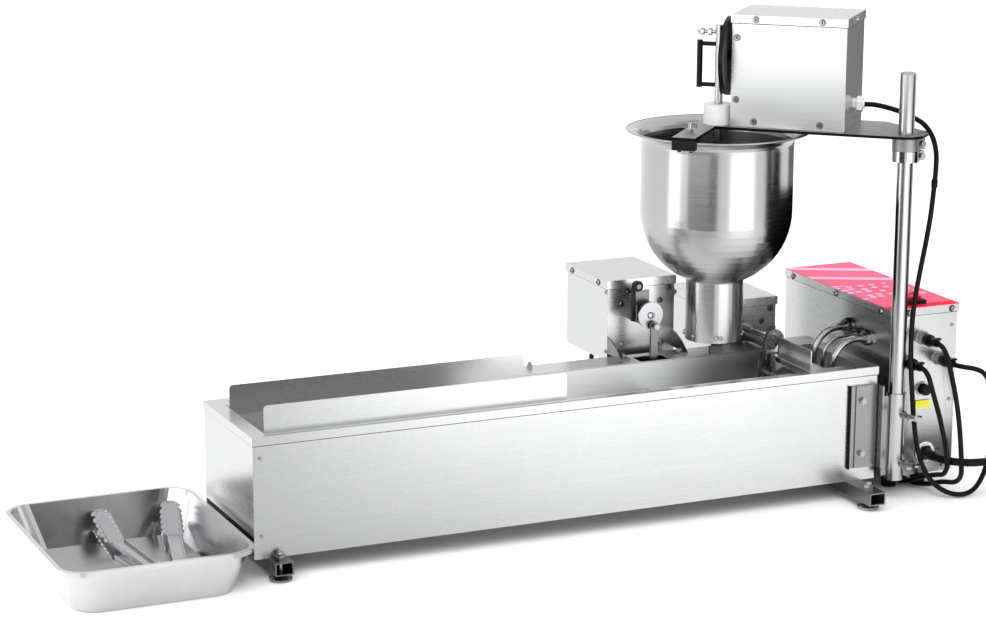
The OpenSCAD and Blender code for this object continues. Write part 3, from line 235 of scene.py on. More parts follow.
SHEET = "sheet_colour", "sheet_roughness"
POLISH = "polish_colour", "polish_roughness"
HARDWARE = "hardware_colour", "polish_roughness"
STEELS = {
    # finish: material, settings, share of the colour, share of the roughness, roughness
    # added to it, grain, other values
    "panel": ("brushed_panel", SHEET, 1.0, 1.0, 0.0, (5.0, 5.0, 2400.0), {}),
    "deck": ("brushed_deck", SHEET, 1.0, 1.0, 0.0, (5.0, 2400.0, 5.0), {}),
    "box": ("brushed_box", SHEET, 1.0, 0.95, 0.0, (6.0, 6.0, 2200.0), {"cloud": 0.14}),
    "lid": ("brushed_lid", SHEET, 1.0, 1.0, 0.0, (700.0, 6.0, 500.0), {"relief": 0.07}),
    "bowl": (
        "spun_bowl", POLISH, 1.0, 1.0, 0.06, (4.0, 4.0, 1500.0),
        {"streak": 0.14, "cloud": 0.05, "relief": 0.2, "spun": 0.75},
    ),
    "pole": (
        "drawn_pole", POLISH, 1.0, 1.0, 0.04, (900.0, 900.0, 5.0),
        {"cloud": 0.05, "spun": 0.4},
    ),
    # tray: lighter than the polished colour, painted light for its shaded walls
    "tray": (
        "pressed_tray", POLISH, 1.28, 1.0, 0.03, even(60.0),
        {"streak": 0.05, "cloud": 0.12, "relief": 0.05},
    ),
    # pan: lighter than the sheet colour, painted light so the shaded oil channel reads bright
    "pan": ("oil_pan", SHEET, 1.28, 1.0, 0.12, (4.0, 60.0, 700.0), {}),
    "leg": ("leg_tube", SHEET, 0.42, 0.0, 0.38, (500.0, 6.0, 500.0), {"cloud": 0.16}),
    # bracket: darker than the sheet colour, painted shade
    "bracket": ("folded_bracket", SHEET, 0.50, 0.0, 0.26, (900.0, 900.0, 6.0), {"cloud": 0.16}),
    "rod": ("dark_rod", SHEET, 0.40, 0.0, 0.34, (400.0, 400.0, 60.0), {}),
    "hardware": (
        "bright_hardware", HARDWARE, 1.0, 0.0, 0.18, even(500.0),
        {"cloud": 0.14, "relief": 0.05},
    ),
}


def plain_steel(name):
    """One of the steels that differ only in numbers."""
    material, (colour, roughness), tint, share, added, grain, others = STEELS[name]
    look = bpy.context.scene.donut_steel
    tinted = shade(getattr(look, colour), tint)
    return steel(material, tinted, getattr(look, roughness) * share + added, grain, **others)


def arm_plate():
    """Grey plate whose cut edge is nearly black."""
    made = Finish("arm_plate", Metallic=0.85)
    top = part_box("arm_plate")[1].z
    height = made.axis("Z")
    face = height.between(top - 0.0004, top - 0.0001)
    hub = 1.0 - height.between(top - 0.0046, top - 0.0042)
    mill = made.noise(even(90.0), detail=4.0)
    fine = made.noise(even(700.0), detail=2.0)
    body = made.blend(mill, (0.24, 0.24, 0.245), (0.33, 0.33, 0.335))
    made.surface(
        Base_Color=made.blend(face + hub, even(0.012), body),
        Roughness=mill * 0.14 + fine * 0.08 + 0.30,
    )
    made.bump(fine, 0.05)
    return made


def heater_steel():
    look = bpy.context.scene.donut_steel
    made = Finish("heater_sheath", Metallic=1.0)
    heat = made.noise((22.0, 60.0, 30.0), detail=4.0)
    fine = made.noise(even(320.0), detail=2.0)
    made.surface(
        Base_Color=made.blend(
            heat.between(0.38, 0.66), shade(look.sheet_colour, 0.62), shade(look.sheet_colour, 0.86)
        ),
        Roughness=heat * 0.12 + fine * 0.06 + 0.16,
    )
    made.bump(fine, 0.05)
    return made


def moulding(finish_name):
    """One of the plastics that differ only in numbers."""
    name, colour, roughness, grain, relief, sheen = MOULDINGS[finish_name]
    if isinstance(colour, str):
        colour = getattr(bpy.context.scene.donut_plastic, colour)
    made = Finish(name, IOR=1.49, Specular_IOR_Level=sheen)
    pores = made.noise(even(grain), detail=3.0)
    wear = made.noise(even(24.0), detail=5.0, shift=(0.2, 0.9, 0.1))
    made.surface(
        Base_Color=made.blend(wear.between(0.3, 0.72), shade(colour, 0.8), shade(colour, 1.3)),
        Roughness=(pores - 0.5) * 0.14 + (wear - 0.5) * 0.16 + roughness,
    )
    made.bump(pores, relief)
    return made


MOULDINGS = {
    # finish: material, setting or colour, roughness, grain, relief, sheen
    "plastic": ("black_moulding", "black", 0.36, 420.0, 0.18, 0.3),
    "rubber": ("black_rubber", "rubber", 0.52, 650.0, 0.22, 0.25),
    "jacket": ("cable_jacket", "rubber", 0.42, 900.0, 0.10, 0.25),
    "enamel": ("motor_enamel", (0.10, 0.12, 0.15), 0.42, 220.0, 0.12, 0.5),
}


def white_nylon():
    made = Finish("white_nylon", IOR=1.53, Subsurface_Weight=0.12, Subsurface_Scale=0.002)
    turned = made.noise((30.0, 30.0, 900.0), detail=2.0)
    stain = made.noise(even(40.0), detail=4.0)
    colour = bpy.context.scene.donut_plastic.white
    made.surface(
        Base_Color=made.blend(stain.between(0.35, 0.75), shade(colour, 0.9), shade(colour, 1.03)),
        Roughness=turned * 0.16 + 0.32,
    )
    made.bump(turned, 0.08)
    return made


def red_rocker():
    colour = bpy.context.scene.donut_plastic.rocker
    made = Finish("red_rocker", IOR=1.49, Coat_Roughness=0.08, Transmission_Weight=0.25)
    glow = made.noise((90.0, 90.0, 140.0), detail=3.0)
    made.surface(
        Base_Color=made.blend(glow.between(0.3, 0.7), shade(colour, 0.75), shade(colour, 1.2)),
        Roughness=glow * 0.1 + 0.14,
        Coat_Weight=glow * 0.1 + 0.5,
    )
    made.bump(glow, 0.06)
    return made


def lid_film():
    """Printed film on the lid's top face, over brushed steel sides."""
    colours = bpy.context.scene.donut_film
    steel_look = bpy.context.scene.donut_steel
    made = Finish("lid_film", IOR=1.4, Coat_Roughness=0.2, Specular_IOR_Level=0.25)
    corner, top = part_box("control_lid")
    film = made.axis("Z").between(top.z - 0.0012, top.z - 0.0008)
    x = made.axis("X") - corner.x
    y = made.axis("Y") - corner.y
    # dots up to 0.15 m from the front edge, slanting bands behind them, a strip in front
    lean = x * 0.5 + y
    bands = ((lean * 92.0).wave() * 0.5 + 0.5).between(0.80, 0.90)
    dots = made.node(
        "ShaderNodeTexVoronoi",
        {"feature": "F1", "voronoi_dimensions": "2D"},
        {"Vector": made.place((1.0, 1.0, 0.0)), "Scale": 52.0, "Randomness": 0.55},
        output="Distance",
    )
    dots = 1.0 - dots.between(0.24, 0.28)
    rear = y.between(0.150, 0.156)
    print_mask = (dots * (1.0 - rear) + bands * rear * 0.9) * (y > 0.07)
    pale = made.noise((24.0, 16.0, 1.0), detail=2.0).between(0.35, 0.7)
    pink = made.blend(pale, colours.pink, shade(colours.pink, 1.18))
    art = made.blend(print_mask, pink, colours.lilac)
    strip = (y < 0.0165) * film
    art = made.blend(strip, art, colours.strip)
    lines = made.noise((4.0, 4.0, 900.0), detail=4.0)
    bare = made.blend(
        lines, shade(steel_look.sheet_colour, 0.9), shade(steel_look.sheet_colour, 1.04)
    )
    fine = made.noise(even(700.0), detail=2.0)
    made.surface(
        Base_Color=made.blend(film, bare, art),
        Metallic=1.0 - film,
        Roughness=film * 0.2 + lines * 0.1 + fine * 0.06 + 0.2,
        Coat_Weight=film * 0.08,
    )
    made.bump(fine * 0.4 + lines * (1.0 - film), 0.06)
    return made


def shadow_gap():
    """Painted shade: the near black of the shadow in a narrow gap between sheets."""
    made = Finish("shadow_gap", Specular_IOR_Level=0.1)
    # random mottle in the painted shade's near black
    painted_shade_tone = made.noise(even(300.0), detail=3.0)
    made.surface(
        Base_Color=made.blend(painted_shade_tone, even(0.006), (0.022, 0.021, 0.020)),
        Roughness=painted_shade_tone * 0.2 + 0.6,
    )
    made.bump(painted_shade_tone, 0.05, 0.0003)
    return made


def yellow_label():
    made = Finish("yellow_label", IOR=1.48)
    fade = made.noise(even(120.0), detail=3.0)
    made.surface(
        Base_Color=made.blend(fade, (0.80, 0.74, 0.03), (0.90, 0.86, 0.10)),
        Roughness=fade * 0.1 + 0.36,
    )
    made.bump(fade, 0.04, 0.0003)
    return made


def counter():
    """The pale, even counter that the machine stands on."""
    made = Finish("pale_counter", Specular_IOR_Level=0.2)
    soft = made.noise((1.4, 1.4, 1.0), detail=3.0)
    fine = made.noise((160.0, 160.0, 1.0), detail=2.0)
    made.surface(
        Base_Color=made.blend(soft, even(0.88), even(0.92)),
        Roughness=fine * 0.1 + 0.72,
    )
    made.bump(fine, 0.02, 0.0003)
    return made


def plain_card(name, low, high):
    """A dull card of one grey, with a trace of weave."""
    made = Finish(name, Specular_IOR_Level=0.0)
    weave = made.noise(even(30.0), detail=2.0)
    made.surface(
        Base_Color=made.blend(weave, even(low), even(high)),
        Roughness=weave * 0.1 + 0.85,
    )
    return made


def dark_card():
    return plain_card("dark_card", 0.006, 0.012)


def grey_card():
    return plain_card("grey_card", 0.16, 0.20)


def graded_card():
    """Grey at the tank's left end, near white at its right end."""
    made = Finish("graded_card", Specular_IOR_Level=0.0)
    share = made.axis("X").between(-0.60, 0.45)
    made.surface(
        Base_Color=made.blend(share, even(0.48), even(0.96)),
        Roughness=share * 0.1 + 0.85,
    )
    return made


def glow_card():
    """Glows beside the flip drive, dimly to its left and hardly at all by the paddle wheel."""
    made = Finish("glow_card", Specular_IOR_Level=0.0, Emission_Strength=1.0)
    share = made.axis("X").between(0.30, 0.41)
    rise = made.axis("X").between(-0.02, 0.04)
    left = made.blend(rise, even(0.26), even(0.95))
    made.surface(
        Base_Color=made.blend(share, even(0.02), even(0.01)),
        Emission_Color=made.blend(share, left, even(0.03)),
        Roughness=share * 0.1 + 0.85,
    )
    return made


MAKERS = {
    "plate": arm_plate,
    "heater": heater_steel,
    "nylon": white_nylon,
    "rocker": red_rocker,
    "film": lid_film,
    "label": yellow_label,
    "shadow": shadow_gap,
    "counter": counter,
    "dark card": dark_card,
    "grey card": grey_card,
    "graded card": graded_card,
    "glow card": glow_card,
}

# ---------------------------------------------------------------- mesh tools


def add_piece(name, mesh_work, finish_name, body=None, smooth=True):
    """Turns a bmesh into a named object that rides on a body."""
    bmesh.ops.recalc_face_normals(mesh_work, faces=mesh_work.faces)
    mesh = bpy.data.meshes.new(name)
    mesh_work.to_mesh(mesh)
    mesh_work.free()
    mesh.polygons.foreach_set("use_smooth", [smooth] * len(mesh.polygons))
    mesh.materials.append(finish(finish_name))
    piece = bpy.data.objects.new(name, mesh)
    bpy.context.scene.collection.objects.link(piece)
    if body:
        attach(piece, body)
    return piece


def smooth_path(points, steps):
    """Points on a smooth curve through the given ones."""
    path = []
    for i in range(len(points) - 1):
        before, start = points[max(i - 1, 0)], points[i]
        stop, after = points[i + 1], points[min(i + 2, len(points) - 1)]
        for k in range(steps):
            t = k / steps
            path.append(
                0.5
                * (
                    2 * start
                    + (stop - before) * t
                    + (2 * before - 5 * start + 4 * stop - after) * t * t
                    + (3 * start - before - 3 * stop + after) * t * t * t
                )
            )
    path.append(points[-1].copy())
    return path


def compass(degrees):
    """Level unit vector at an angle from +X."""
    angle = math.radians(degrees)
    return Vector((math.cos(angle), math.sin(angle), 0.0))


def circle(mesh_work, centre, across, up, radius, sides):
    """New vertices on a circle that across and up span."""
    angles = [math.tau * k / sides for k in range(sides)]
    return [
        mesh_work.verts.new(centre + (across * math.cos(a) + up * math.sin(a)) * radius)
        for a in angles
    ]


def sweep(mesh_work, path, radius, sides):
    """A round tube along a path."""
    across = None
    rings = []
    for i, point in enumerate(path):
        ahead = (path[min(i + 1, len(path) - 1)] - path[max(i - 1, 0)]).normalized()
        if across is None:
            across = ahead.orthogonal().normalized()
        across = (across - ahead * across.dot(ahead)).normalized()
        rings.append(circle(mesh_work, point, across, ahead.cross(across), radius, sides))
    for low, high in zip(rings, rings[1:]):
        for k in range(sides):
            mesh_work.faces.new((low[k], low[(k + 1) % sides], high[(k + 1) % sides], high[k]))
    mesh_work.faces.new(list(reversed(rings[0])))
    mesh_work.faces.new(rings[-1])


def turned(mesh_work, start, direction, profile, sides=32):
    """A turned form: profile is (radius, distance) pairs along direction from start."""
    direction = direction.normalized()
    across = direction.orthogonal().normalized()
    up = direction.cross(across)
    rings = []
    for r, distance in profile:
        centre = start + direction * distance
        if r <= 0:
            rings.append([mesh_work.verts.new(centre)])
        else:
            rings.append(circle(mesh_work, centre, across, up, r, sides))
    for low, high in zip(rings, rings[1:]):
        for k in range(sides):
            n = (k + 1) % sides
            if len(low) == 1 and len(high) == 1:
                continue
            if len(low) == 1:
                mesh_work.faces.new((low[0], high[n], high[k]))
            elif len(high) == 1:
                mesh_work.faces.new((low[k], low[n], high[0]))
            else:
                mesh_work.faces.new((low[k], low[n], high[n], high[k]))
    for end in (rings[0], rings[-1]):
        if len(end) > 1:
            mesh_work.faces.new(end)


def prism(mesh_work, corners, rise):
    """A flat form of any outline, thickened by rise."""
    low = [mesh_work.verts.new(corner) for corner in corners]
    high = [mesh_work.verts.new(corner + rise) for corner in corners]
    mesh_work.faces.new(low)
    mesh_work.faces.new(list(reversed(high)))
    for k in range(len(low)):
        n = (k + 1) % len(low)
        mesh_work.faces.new((low[k], low[n], high[n], high[k]))


def ring(mesh_work, place, way, inner, outer, height, sides=32):
    """A flat washer with slightly rounded edges."""
    edge = min(height, outer - inner) * 0.2
    outline = [
        (inner, 0), (outer, 0), (outer, height - edge), (outer - edge, height),
        (inner + edge, height), (inner, height - edge),
    ]
    way = way.normalized()
    across = way.orthogonal().normalized()
    up = way.cross(across)
    loops = [circle(mesh_work, place + way * z, across, up, r, sides) for r, z in outline]
    for a, b in zip(loops, loops[1:] + loops[:1]):
        for k in range(sides):
            n = (k + 1) % sides
            mesh_work.faces.new((a[k], a[n], b[n], b[k]))


def rectangle(x0, y0, x1, y1):
    return ((x0, y0), (x1, y0), (x1, y1), (x0, y1))


def band(mesh_work, corners, height, thickness):
    """A thin strip that runs round the outside of four corners."""
    middle = sum(corners, Vector()) / 4
    along = [(corners[(k + 1) % 4] - corners[k]).normalized() for k in range(4)]
    outer = [corners[k] + (along[k - 1] - along[k]) * thickness for k in range(4)]
    if (outer[0] - middle).length < (corners[0] - middle).length:
        raise RuntimeError("the strip runs inside its corners")
    for k in range(4):
        n = (k + 1) % 4
        prism(mesh_work, [corners[k], corners[n], outer[n], outer[k]], Vector((0, 0, height)))


def slab(mesh_work, low, high, edge=0.0004):
    """A thin block with softened edges between two corners."""
    low, high = Vector(low), Vector(high)
    made = bmesh.ops.create_cube(mesh_work, size=1.0)["verts"]
    for vert in made:
        vert.co = Vector((high[i] if vert.co[i] > 0 else low[i] for i in range(3)))
    edges = list({e for v in made for e in v.link_edges})
    bmesh.ops.bevel(mesh_work, geom=edges, offset=edge, segments=2, affect="EDGES", profile=0.6)


# ---------------------------------------------------------------- values that a user may change


class DonutStageSettings(bpy.types.PropertyGroup):
    floor_size: FloatProperty(
        name="Floor size", description="Side of the counter", default=40.0, unit="LENGTH"
    )
    sky: FloatProperty(name="Sky", description="Strength of the even light", default=0.90)
    sun: FloatProperty(name="Sun", description="Strength of the broad overhead light", default=1.2)
    strip_power: FloatProperty(
        name="Strip lights", description="Power of each tall strip light", default=0.8, unit="POWER"
    )
    lens: FloatProperty(
        name="Lens", description="Focal length of the camera in millimetres", default=100.78
    )


class DonutSteelSettings(bpy.types.PropertyGroup):
    sheet_colour: FloatVectorProperty(
        name="Sheet colour", description="Colour of the brushed sheet",
        default=(0.60, 0.605, 0.61), subtype="COLOR",
    )
    sheet_roughness: FloatProperty(
        name="Sheet roughness", description="Mean roughness of the brushed sheet", default=0.27,
        min=0.05, max=1.0, subtype="FACTOR",
    )
    polish_colour: FloatVectorProperty(
        name="Polished colour", description="Colour of the polished bowl, pole and tray",
        default=(0.47, 0.47, 0.475), subtype="COLOR",
    )
    polish_roughness: FloatProperty(
        name="Polished roughness", description="Mean roughness of the polished pieces",
        default=0.19, min=0.03, max=1.0, subtype="FACTOR",
    )
    hardware_colour: FloatVectorProperty(
        name="Hardware colour", description="Colour of screws, nuts and collars",
        default=(0.42, 0.42, 0.43), subtype="COLOR",
    )


class DonutPlasticSettings(bpy.types.PropertyGroup):
    black: FloatVectorProperty(
        name="Black moulding", description="Colour of knobs, clamp and bezel",
        default=(0.006, 0.006, 0.007), subtype="COLOR",
    )
    rubber: FloatVectorProperty(
        name="Black rubber", description="Colour of cable jackets and feet", default=even(0.004),
        subtype="COLOR",
    )
    white: FloatVectorProperty(
        name="White nylon", description="Colour of bushes and glands",
        default=(0.82, 0.82, 0.80), subtype="COLOR",
    )
    rocker: FloatVectorProperty(
        name="Rocker", description="Colour of the lit rocker", default=(0.70, 0.012, 0.045),
        subtype="COLOR",
    )


class DonutFilmSettings(bpy.types.PropertyGroup):
    pink: FloatVectorProperty(
        name="Film colour", description="Ground colour of the printed film",
        default=(0.94, 0.13, 0.24), subtype="COLOR",
    )
    lilac: FloatVectorProperty(
        name="Pattern colour", description="Colour of the dots and bands on the film",
        default=(0.86, 0.56, 0.86), subtype="COLOR",
    )
    strip: FloatVectorProperty(
        name="Front strip", description="Colour of the strip along the film's front edge",
        default=(0.78, 0.02, 0.05), subtype="COLOR",
    )


class DonutCableSettings(bpy.types.PropertyGroup):
    thin: FloatProperty(
        name="Cable diameter", description="Diameter of the motor and gearbox cables",
        default=0.007, unit="LENGTH", subtype="DISTANCE",
    )
    mains: FloatProperty(
        name="Mains cord diameter", description="Diameter of the mains cord", default=0.011,
        unit="LENGTH", subtype="DISTANCE",
    )
    sides: IntProperty(name="Sides", description="Faces round a cable", default=20, min=8)


SETTINGS = {
    "donut_stage": DonutStageSettings,
    "donut_steel": DonutSteelSettings,
    "donut_plastic": DonutPlasticSettings,
    "donut_film": DonutFilmSettings,
    "donut_cable": DonutCableSettings,
}

# ---------------------------------------------------------------- operators


class DONUT_OT_camera(bpy.types.Operator):
    """Place the camera at the photograph's viewing angle"""

    bl_idname = "donut.camera"
    bl_label = "Camera"

    def execute(self, context):
        data = bpy.data.cameras.new("front_camera")
        data.lens = context.scene.donut_stage.lens
        data.sensor_fit = "HORIZONTAL"
        data.sensor_width = 36.0
        data.clip_end = 100.0
        camera = bpy.data.objects.new("front_camera", data)
        context.scene.collection.objects.link(camera)
        aim = (
            Matrix.Rotation(math.radians(CAMERA_YAW), 4, "Z")
            @ Matrix.Rotation(math.radians(90 + CAMERA_PITCH), 4, "X")
            @ Matrix.Rotation(math.radians(CAMERA_ROLL), 4, "Z")
        )
        camera.matrix_world = Matrix.Translation(CAMERA_PLACE) @ aim
        context.scene.camera = camera
        return {"FINISHED"}


CARDS = (
    # name, distance from the hopper, directions of both ends, low and high edge, finish
    ("card_front", 1.15, (-42, 2), (0.0, 0.40), "dark card"),
    ("card_right", 1.10, (76, 106), (0.0, 0.52), "dark card"),
    ("card_side", 1.20, (130, 166), (0.12, 0.78), "grey card"),
)
STRIPS = (
    # name, distance from the hopper, direction, width, height of the middle, height, power
    ("strip_left", 1.20, -63, 0.42, 0.18, 0.34, 1.0),
    ("strip_right", 1.20, 38, 0.80, 0.18, 0.34, 1.8),
    ("strip_high", 1.40, -31, 1.10, 0.66, 0.56, 3.2),
)
SUN_SPREAD = 50  # degrees
SUN_LEAN = (32, -18, 0)


class DONUT_OT_stage(bpy.types.Operator):
    """Lay the pale counter and set soft studio light round it"""

    bl_idname = "donut.stage"
    bl_label = "Stage"

    def execute(self, context):
        settings = context.scene.donut_stage
        context.scene.view_settings.view_transform = "Standard"
        context.scene.view_settings.look = "Medium High Contrast"
        world = bpy.data.worlds.new("even_light")
        world.use_nodes = True
        ground = world.node_tree.nodes["Background"]
        ground.inputs["Color"].default_value = (1.0, 1.0, 1.0, 1.0)
        ground.inputs["Strength"].default_value = settings.sky
        context.scene.world = world

        floor = bmesh.new()
        bmesh.ops.create_grid(floor, x_segments=2, y_segments=2, size=settings.floor_size / 2)
        for vert in floor.verts:
            vert.co += Vector((0.0, 6.0, -0.0006))
        add_piece("counter", floor, "counter")

        hopper = tank(*HOPPER, 0)
        for name, distance, ends, edges, finish_name in CARDS:
            a, b = (hopper + self.way(degrees) * distance for degrees in ends)
            low, high = edges
            corners = [(a.x, a.y, low), (b.x, b.y, low), (b.x, b.y, high), (a.x, a.y, high)]
            self.reflected(name, corners, finish_name)
        self.upright("card_lid", tank(893, -10, 86), tank(893, 290, 230), "dark card")
        for name, *sizes, share in STRIPS:
            self.strip(name, hopper, *sizes, settings.strip_power * share)
        self.flat(
            "card_graded", tank(12, -1000, -189.4), tank(1500, -8, -189.4), "graded card"
        )
        self.flat("card_glow", tank(430, 17, 2.2), tank(800, 147, 2.2), "glow card")
        self.upright("card_pan", tank(30, 13.5, -88), tank(780, 13.5, -3), "glow card")

        sun = bpy.data.lights.new("broad_light", "SUN")
        sun.energy = settings.sun
        sun.angle = math.radians(SUN_SPREAD)
        light = bpy.data.objects.new("broad_light", sun)
        light.rotation_euler = [math.radians(degrees) for degrees in SUN_LEAN]
        light.visible_glossy = False
        context.scene.collection.objects.link(light)
        return {"FINISHED"}

    def way(self, degrees):
        """Unit vector at an angle from the camera's direction, seen from above the hopper."""
        return compass(CAMERA_SIDE + degrees)

    def upright(self, name, low, high, finish_name):
        """An upright card between two places."""
        corners = [low, (high.x, high.y, low.z), high, (low.x, low.y, high.z)]
        self.reflected(name, corners, finish_name)

    def flat(self, name, low, high, finish_name):
        """A level card between two places."""
        corners = [(x, y, low.z) for x, y in rectangle(low.x, low.y, high.x, high.y)]
        self.reflected(name, corners, finish_name)

    def reflected(self, name, corners, finish_name):
        """A card that only reflections see."""
        work = bmesh.new()
        work.faces.new([work.verts.new(corner) for corner in corners])
        piece = add_piece(name, work, finish_name)
        for ray in ("camera", "diffuse", "shadow", "transmission"):
            setattr(piece, f"visible_{ray}", False)

    def strip(self, name, centre, distance, degrees, width, middle, height, power):
        """A tall strip light that faces the hopper."""
        data = bpy.data.lights.new(name, "AREA")
        data.shape = "RECTANGLE"
        data.size = width
        data.size_y = height
        data.energy = power
        light = bpy.data.objects.new(name, data)
        place = centre + self.way(degrees) * distance
        place.z = middle
        aim = Vector((centre.x, centre.y, 0.30 + middle * 0.5)) - place
        light.location = place
        light.visible_camera = False
        light.rotation_euler = aim.to_track_quat("-Z", "Y").to_euler()
        bpy.context.scene.collection.objects.link(light)


CABLES = {
    "gearbox_cable_top": (
        "gearbox_cable_upper",
        ("arm", "stop_collar"),
        [(920.65, 58.8, 360), (931, 49, 360), (944, 36, 357), (958, 23, 352), (971, 12, 345),
         (983, 2, 335), (991, -6, 319), (995, -10, 298), (995, -11, 276), (993, -12, 256)],
    ),
    "gearbox_cable_drop": (
        "gearbox_cable_lower",
        ("stop_collar", "frame"),
        [(993, -12, 255), (988, -14, 215), (981, -16, 178), (973, -18, 143), (965, -21, 110),
         (959, -24, 80), (956, -26, 45), (956, -28, 5), (959, -29, -35), (963, -30, -75),
         (969, -31, -112), (978, -33, -142), (992, -37, -166), (1008, -43, -179.5),
         (1024, -50, -185.2), (1042, -52, -185), (1058, -50, -178), (1071, -48, -160),
         (1079, -46, -135), (1083, -43, -105), (1081, -40, -75), (1075, -46, -48),
         (1067, -56, -25), (1053, -64, -9), (1038, -65, -1), (1026, -57, 1), (1021, -45, 1),
         (1021, -35, 1)],
    ),
    "motor_cable_a": (
        "motor_cable_left",
        ("frame",),
        [(967, -35, 1), (967, -40, 1), (967.6, -48, -1.5), (968.8, -54, -8), (971, -56.3, -17),
         (978, -57, -39), (986, -57.5, -63), (993, -58, -88), (998, -61, -114),
         (1000, -62, -136), (1000, -54, -151), (1000, -34, -158), (997, -11, -166),
         (993, 15, -178), (989, 42, SHELF), (989, 100, SHELF), (989, 170, SHELF),
         (989, 235, SHELF), (987, 278, SHELF), (973, 312, SHELF), (945, 336, SHELF),
         (905, 352, SHELF), (850, 362, SHELF), (790, 372, SHELF), (738, 382, SHELF),
         (704, 390, -181), (684, 396, -163), (674, 399, -130), (670, 398, -85),
         (669, 392, -40), (670, 381, -6), (671, 366, 4), (671, 356, 5)],
    ),
    "motor_cable_b": (
        "motor_cable_right",
        ("frame",),
        [(993, -35, 33), (993, -40, 33), (993.7, -48, 30.5), (995, -54, 24), (997.3, -56.6, 15),
         (1003, -59, -8), (1008, -64, -38), (1011, -69, -68), (1013, -73, -100),
         (1014, -76, -132), (1017, -71, -152), (1020, -52, -166), (1019, -22, -174),
         (1012, 0, -182), (1004, 22, SHELF), (1001, 44, SHELF), (1001, 100, SHELF),
         (1001, 170, SHELF), (1001, 235, SHELF), (1000, 282, SHELF), (988, 322, SHELF),
         (960, 352, SHELF), (922, 372, SHELF), (890, 384, -184), (868, 391, -170),
         (856, 395, -144), (851, 395, -112), (850, 388, -80), (850, 374, -54), (850, 362, -47),
         (850, 356, -46)],
    ),
}

MAINS_DROP = [
    (1002, -26, -134), (1004.4, -41.5, -134), (1011.5, -55.4, -134), (1022.6, -66.5, -134),
    (1036.5, -73.6, -134), (1052, -76, -134), (1065, -76, -135.7), (1077.1, -76, -140.7),
    (1087.5, -76, -148.7), (1095.5, -76, -159.2), (1103.5, -76, -169.6), (1113.9, -76, -177.6),
    (1126, -76, -182.6), (1139, -76, -184.3),
]


COIL_CENTRE = (1150, -147.6)
COIL_RADIUS = 48.4  # of the inner turn
COIL_LOW = -184.3
COIL_PITCH = 11.6  # from turn to turn and from layer to layer
COIL_TURNS = 4
COIL_STEPS = 48


class DONUT_OT_cables(bpy.types.Operator):
    """Run the four thin cables from the sockets to the motors and the gearbox"""

    bl_idname = "donut.cables"
    bl_label = "Motor and gearbox cables"

    def execute(self, context):
        settings = context.scene.donut_cable
        for name, (node, bodies, route) in CABLES.items():
            path = smooth_path([tank(*point) for point in route], 6)
            work = bmesh.new()
            sweep(work, path, settings.thin / 2, settings.sides)
            piece = add_piece(name, work, "jacket")
            if len(bodies) == 2:
                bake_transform(piece)
            else:
                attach(piece, bodies[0])
            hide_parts(node)
        return {"FINISHED"}


class DONUT_OT_mains(bpy.types.Operator):
    """Run the mains cord from its gland into a neat coil that ends in the plug"""

    bl_idname = "donut.mains"
    bl_label = "Mains cord"

    def execute(self, context):
        settings = context.scene.donut_cable
        path = smooth_path([tank(*point) for point in MAINS_DROP], 4)
        for k in range(1, COIL_TURNS * COIL_STEPS + 1):
            turn = k / COIL_STEPS
            radius = COIL_RADIUS + COIL_PITCH * abs(turn - 2)
            height = COIL_LOW + COIL_PITCH * min(1.0, max(0.0, 2 * (turn - 2) + 0.5))
            angle = math.radians(90 - 360 * turn)
            x = COIL_CENTRE[0] + radius * math.cos(angle)
            path.append(tank(x, COIL_CENTRE[1] + radius * math.sin(angle), height))
        # the last 22 mm run straight into the plug
        last = path[-1]
        path += [last + Vector((0.0055 * k, 0, 0)) for k in range(1, 5)]
        work = bmesh.new()
        sweep(work, path, settings.mains / 2, settings.sides)
        piece = add_piece("mains_lead", work, "jacket", "frame")
        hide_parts("mains_cord", "mains_coil")
        return {"FINISHED"}


NODE_FINISHES = {
    "panel": "front_panel back_panel end_panels splash_guards",
    "deck": "top_deck",
    "box": "motor_cases control_case gearbox_case",
    "lid": "motor_lids gearbox_lid",
    "bowl": "hopper",
    "pole": "pole pole_sleeve plunger",
    "tray": "tray",
    "pan": "oil_pan",
    "leg": "leg_tubes brackets_and_bearings",
    "plate": "arm_plate",
    "bracket": "pole_bracket",
    "rod": "flip_rod drive_chain",
    "hardware": "case_screws arm_screws thumb_screw_upper thumb_screw_lower wing_screw"
    " panel_sockets stop_collar flip_crank paddle_shaft paddle_wheel flipper levelling_feet"
    " tongs_lower_arms tongs_front_arm tongs_rear_arm",
    "heater": "heater_tubes",
    "plastic": "switch_bezel mains_gland reset_button lift_handle rim_clamp dispenser_crank"
    " swing_lever plugs_and_glands mains_plug",
    "rubber": "control_feet",
    "nylon": "guide_bush gearbox_gland",
    "enamel": "deck_gearmotors dispenser_gearmotor",
    "rocker": "switch_rocker",
    "film": "control_lid",
}
CORD_NODES = {node for node, _, _ in CABLES.values()} | {"mains_cord", "mains_coil"}
SOFTENED = (
    "front_panel end_panels top_deck motor_cases motor_lids control_case control_lid"
    " gearbox_case gearbox_lid splash_guards leg_tubes arm_plate rim_clamp switch_bezel"
)
ROUNDED = ("arm_plate", "rim_clamp", "switch_bezel")


